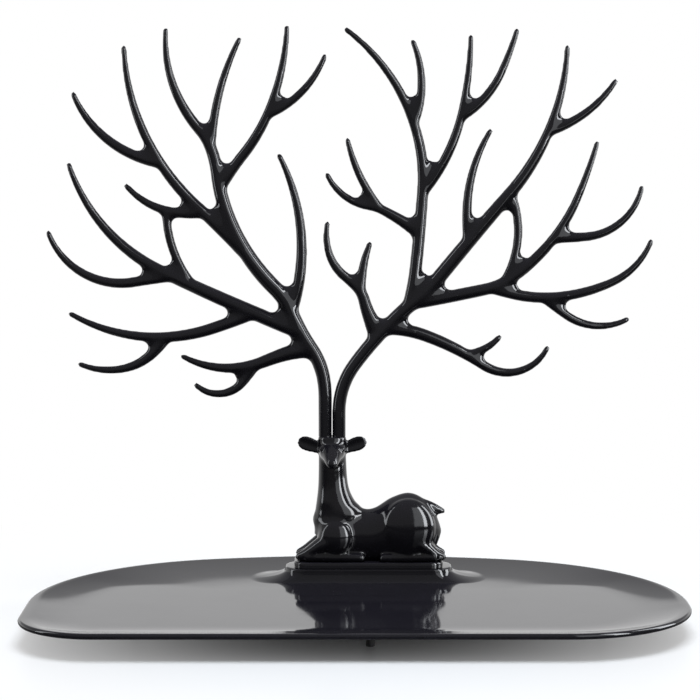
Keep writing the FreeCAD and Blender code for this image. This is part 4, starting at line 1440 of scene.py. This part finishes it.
@dataclass
class Studio:
    """Pale floor, white surroundings, soft lamps and the camera.

    A ramp is where it starts, where it ends and its values there. A card has a name, its degrees
    from the camera's side towards the right, its distance, its width and its brightness.
    """

    camera_place: Point = (-0.003, -0.918, 0.2043)
    camera_pitch: float = 6.25
    focal_pixels: float = 2423.0
    image_pixels: float = 700.0
    sensor: float = 36.0
    floor_reach: float = 4.0
    floor_colour: Point = (0.86, 0.88, 0.9)
    floor_rough: float = 0.35
    # Painted shade: in the gloss the floor in front is a glow that falls from 0.18 far in front to 0.06
    # near the tray's front
    floor_front_painted_shade: Row = (-0.6, -0.1, 0.18, 0.06)
    floor_behind: Row = (-0.1, 0.25, 0.0, 0.94)
    # Painted light: the white glow starts 3 cm from the middle, so it lies over the tray's real shadow
    # and lightens it
    floor_white_fade_over_shadow: Row = (0.03, 0.25, 0.0, 1.0)
    wall_behind: Row = (-0.3, 0.2, 0.0, 1.0)
    wall_card: Row = (0.25, 0.285, 1.0, 0.28)
    wall_above: Row = (0.3, 0.8, 1.0, 0.5)
    room: Row = (0.0, 1.0, 0.26, 1.0)
    lamp_colour: Point = (0.93, 0.96, 1.0)
    aim_back: float = 0.03
    top_place: Point = (0.1, 0.0, 1.4)
    top_size: float = 0.9
    top_power: float = 22.0
    card_height: float = 0.75
    cards: tuple[tuple[str, float, float, float, float], ...] = (
        ("right_card", 36.0, 0.7, 0.5, 1.5),
        ("right_bright_card", 50.0, 0.65, 0.14, 12.0),
        ("right_edge_card", 93.0, 0.65, 0.24, 9.0),
        ("left_card", -80.0, 0.65, 0.14, 4.0),
    )

    def camera(self) -> None:
        """Set the camera at the photograph's angle."""
        data = bpy.data.cameras.new("camera")
        data.sensor_fit = "HORIZONTAL"
        data.sensor_width = self.sensor
        data.lens = self.focal_pixels / self.image_pixels * self.sensor
        data.clip_end = 50.0
        item = set_out("camera", data)
        item.location = self.camera_place
        item.rotation_euler = (math.radians(90 - self.camera_pitch), 0.0, 0.0)
        bpy.context.scene.camera = item

    def floor(self) -> None:
        """Lay the pale floor, which fades into the white surroundings."""
        mesh = bpy.data.meshes.new("floor")
        square = ((-1, -1), (1, -1), (1, 1), (-1, 1))
        mesh.from_pydata([(x * self.floor_reach, y * self.floor_reach, 0) for x, y in square], [],
                         [(0, 1, 2, 3)])
        item = set_out("floor", mesh)
        material = bpy.data.materials.new("pale_floor")
        material.use_nodes = True
        tree = material.node_tree
        nodes, links = tree.nodes, tree.links
        shader = nodes["Principled BSDF"]
        shader.inputs["Base Color"].default_value = (*self.floor_colour, 1.0)
        shader.inputs["Roughness"].default_value = self.floor_rough
        white = nodes.new("ShaderNodeEmission")
        place = nodes.new("ShaderNodeTexCoord").outputs["Object"]
        split = nodes.new("ShaderNodeSeparateXYZ")
        links.new(place, split.inputs["Vector"])
        path = nodes.new("ShaderNodeLightPath")
        # Glow that all but camera rays see: painted darker near the tray's front (painted shade in the
        # mirrored floor), bright behind the object as a backdrop
        front = self.ramp(tree, split.outputs["Y"], self.floor_front_painted_shade)
        behind = self.ramp(tree, split.outputs["Y"], self.floor_behind)
        glow = self.maths(tree, "ADD", front, behind)
        glow = self.maths(tree, "MAXIMUM", path.outputs["Is Camera Ray"], glow)
        links.new(glow, white.inputs["Strength"])
        far = nodes.new("ShaderNodeVectorMath")
        far.operation = "LENGTH"
        links.new(place, far.inputs[0])
        # Painted light: white glow mixed over the shaded floor near the object lightens its real shadow,
        # and takes over fully farther out
        fade = self.ramp(tree, far.outputs["Value"], self.floor_white_fade_over_shadow)
        share = self.maths(tree, "MAXIMUM", fade, path.outputs["Is Glossy Ray"])
        mix = nodes.new("ShaderNodeMixShader")
        links.new(share, mix.inputs["Fac"])
        links.new(shader.outputs["BSDF"], mix.inputs[1])
        links.new(white.outputs["Emission"], mix.inputs[2])
        links.new(mix.outputs["Shader"], nodes["Material Output"].inputs["Surface"])
        mesh.materials.append(material)

    def surroundings(self) -> None:
        """White behind the object, darker above it and on the camera's side."""
        world = bpy.data.worlds.new("studio")
        bpy.context.scene.world = world
        world.use_nodes = True
        tree = world.node_tree
        nodes, links = tree.nodes, tree.links
        direction = nodes.new("ShaderNodeSeparateXYZ")
        links.new(nodes.new("ShaderNodeTexCoord").outputs["Generated"], direction.inputs["Vector"])
        behind = self.ramp(tree, direction.outputs["Y"], self.wall_behind)
        card = self.ramp(tree, direction.outputs["Z"], self.wall_card)
        above = self.ramp(tree, direction.outputs["Z"], self.wall_above)
        wall = self.maths(tree, "MULTIPLY", behind, self.maths(tree, "MULTIPLY", card, above))
        room = self.ramp(tree, wall, self.room, "LINEAR")
        seen = nodes.new("ShaderNodeLightPath").outputs["Is Camera Ray"]
        links.new(self.maths(tree, "MAXIMUM", seen, room), nodes["Background"].inputs["Color"])

    @staticmethod
    def maths(tree: bpy.types.NodeTree, operation: str, first: bpy.types.NodeSocket,
              second: bpy.types.NodeSocket) -> bpy.types.NodeSocket:
        """Work out one value from two.

        Args:
            tree: The nodes to add to.
            operation: What is done with the two values.
            first: First value.
            second: Second value.

        Returns:
            The result's socket.
        """
        node = tree.nodes.new("ShaderNodeMath")
        node.operation = operation
        tree.links.new(first, node.inputs[0])
        tree.links.new(second, node.inputs[1])
        return node.outputs["Value"]

    @staticmethod
    def ramp(tree: bpy.types.NodeTree, source: bpy.types.NodeSocket, row: Row,
             course: str = "SMOOTHSTEP") -> bpy.types.NodeSocket:
        """Lead one value over into another.

        Args:
            tree: The nodes to add to.
            source: The value that it follows.
            row: Where it starts, where it ends and the values there.
            course: How it goes between the two.

        Returns:
            The result's socket.
        """
        node = tree.nodes.new("ShaderNodeMapRange")
        node.interpolation_type = course
        for name, value in zip(("From Min", "From Max", "To Min", "To Max"), row):
            node.inputs[name].default_value = value
        tree.links.new(source, node.inputs["Value"])
        return node.outputs["Result"]

    def lamp(self, name: str, place: Point, aim: Point, width: float, height: float,
             power: float) -> bpy.types.Object:
        """Hang one soft box.

        Args:
            name: Name of the lamp.
            place: Where it hangs, in metres.
            aim: Where it points.
            width: Width of its face.
            height: Height of its face.
            power: Power in watts.

        Returns:
            The lamp's object.
        """
        data = bpy.data.lights.new(name, "AREA")
        data.shape = "RECTANGLE"
        data.size = width
        data.size_y = height
        data.energy = power
        data.color = self.lamp_colour
        item = set_out(name, data)
        item.location = place
        item.rotation_euler = (Vector(aim) - Vector(place)).to_track_quat("-Z", "Y").to_euler()
        return item

    def card(self, name: str, azimuth: float, far: float, width: float, glow: float) -> None:
        """Stand a glowing card on the floor beside the object, only to be mirrored in the gloss.

        Args:
            name: Name of the card.
            azimuth: Degrees from the camera's side towards the right.
            far: Distance from the object in metres.
            width: Width of the card.
            glow: Brightness, where 1 is white.
        """
        turn = math.radians(azimuth)
        height = self.card_height
        place = (far * math.sin(turn), self.aim_back - far * math.cos(turn), height / 2)
        aim = (0.0, self.aim_back, height / 2)
        power = glow * math.pi * width * height
        self.lamp(name, place, aim, width, height, power).visible_diffuse = False

    def build(self) -> None:
        """Set up the whole studio."""
        self.camera()
        self.floor()
        self.surroundings()
        top = self.lamp("top_soft_box", self.top_place, (0.0, self.aim_back, 0.0), self.top_size,
                        self.top_size, self.top_power)
        top.visible_glossy = False
        for row in self.cards:
            self.card(*row)
        bpy.context.scene.view_settings.view_transform = "Standard"


def corners(box: tuple[Vector, Vector]) -> list[list[float]]:
    """A box's two corners as plain lists."""
    return [list(corner) for corner in box]


def main() -> None:
    """Build the pieces in order and dress them."""
    logging.basicConfig(level=logging.INFO, format="%(name)s: %(message)s")
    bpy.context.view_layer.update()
    effects = Effects()
    gloss = BLACK_PLASTIC.material(effects)
    wavy = DEER_PLASTIC.material(effects)
    rubber = FOOT_RUBBER.material(effects)
    steel = TURNED_STEEL.material(effects)

    slab_low, slab_high = (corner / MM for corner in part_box("deer_base"))
    origin = Vector(((slab_low.x + slab_high.x) / 2, (slab_low.y + slab_high.y) / 2, slab_high.z))
    tray, slab, deer, feet, screws = Tray(), Slab(), Deer(), Feet(), Screws()
    crown = Vector((origin.x + deer.head_along, origin.y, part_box("deer")[1].z / MM))
    antlers = [Antler(Side.LEFT, LEFT_BRANCHES, LEFT_BRIDGE, Body.LEFT_ANTLER),
               Antler(Side.RIGHT, RIGHT_BRANCHES, RIGHT_BRIDGE, Body.RIGHT_ANTLER)]

    tray.build()
    slab.build(slab_low, slab_high)
    deer.build(origin, crown)
    feet.build()
    screws.build(origin)
    for antler in antlers:
        antler.build(crown)
    for piece in (tray, slab, *antlers):
        piece.dress(gloss)
    deer.dress(wavy)
    feet.dress(rubber)
    screws.dress(steel)
    Studio().build()


if __name__ == "__main__":
    main()
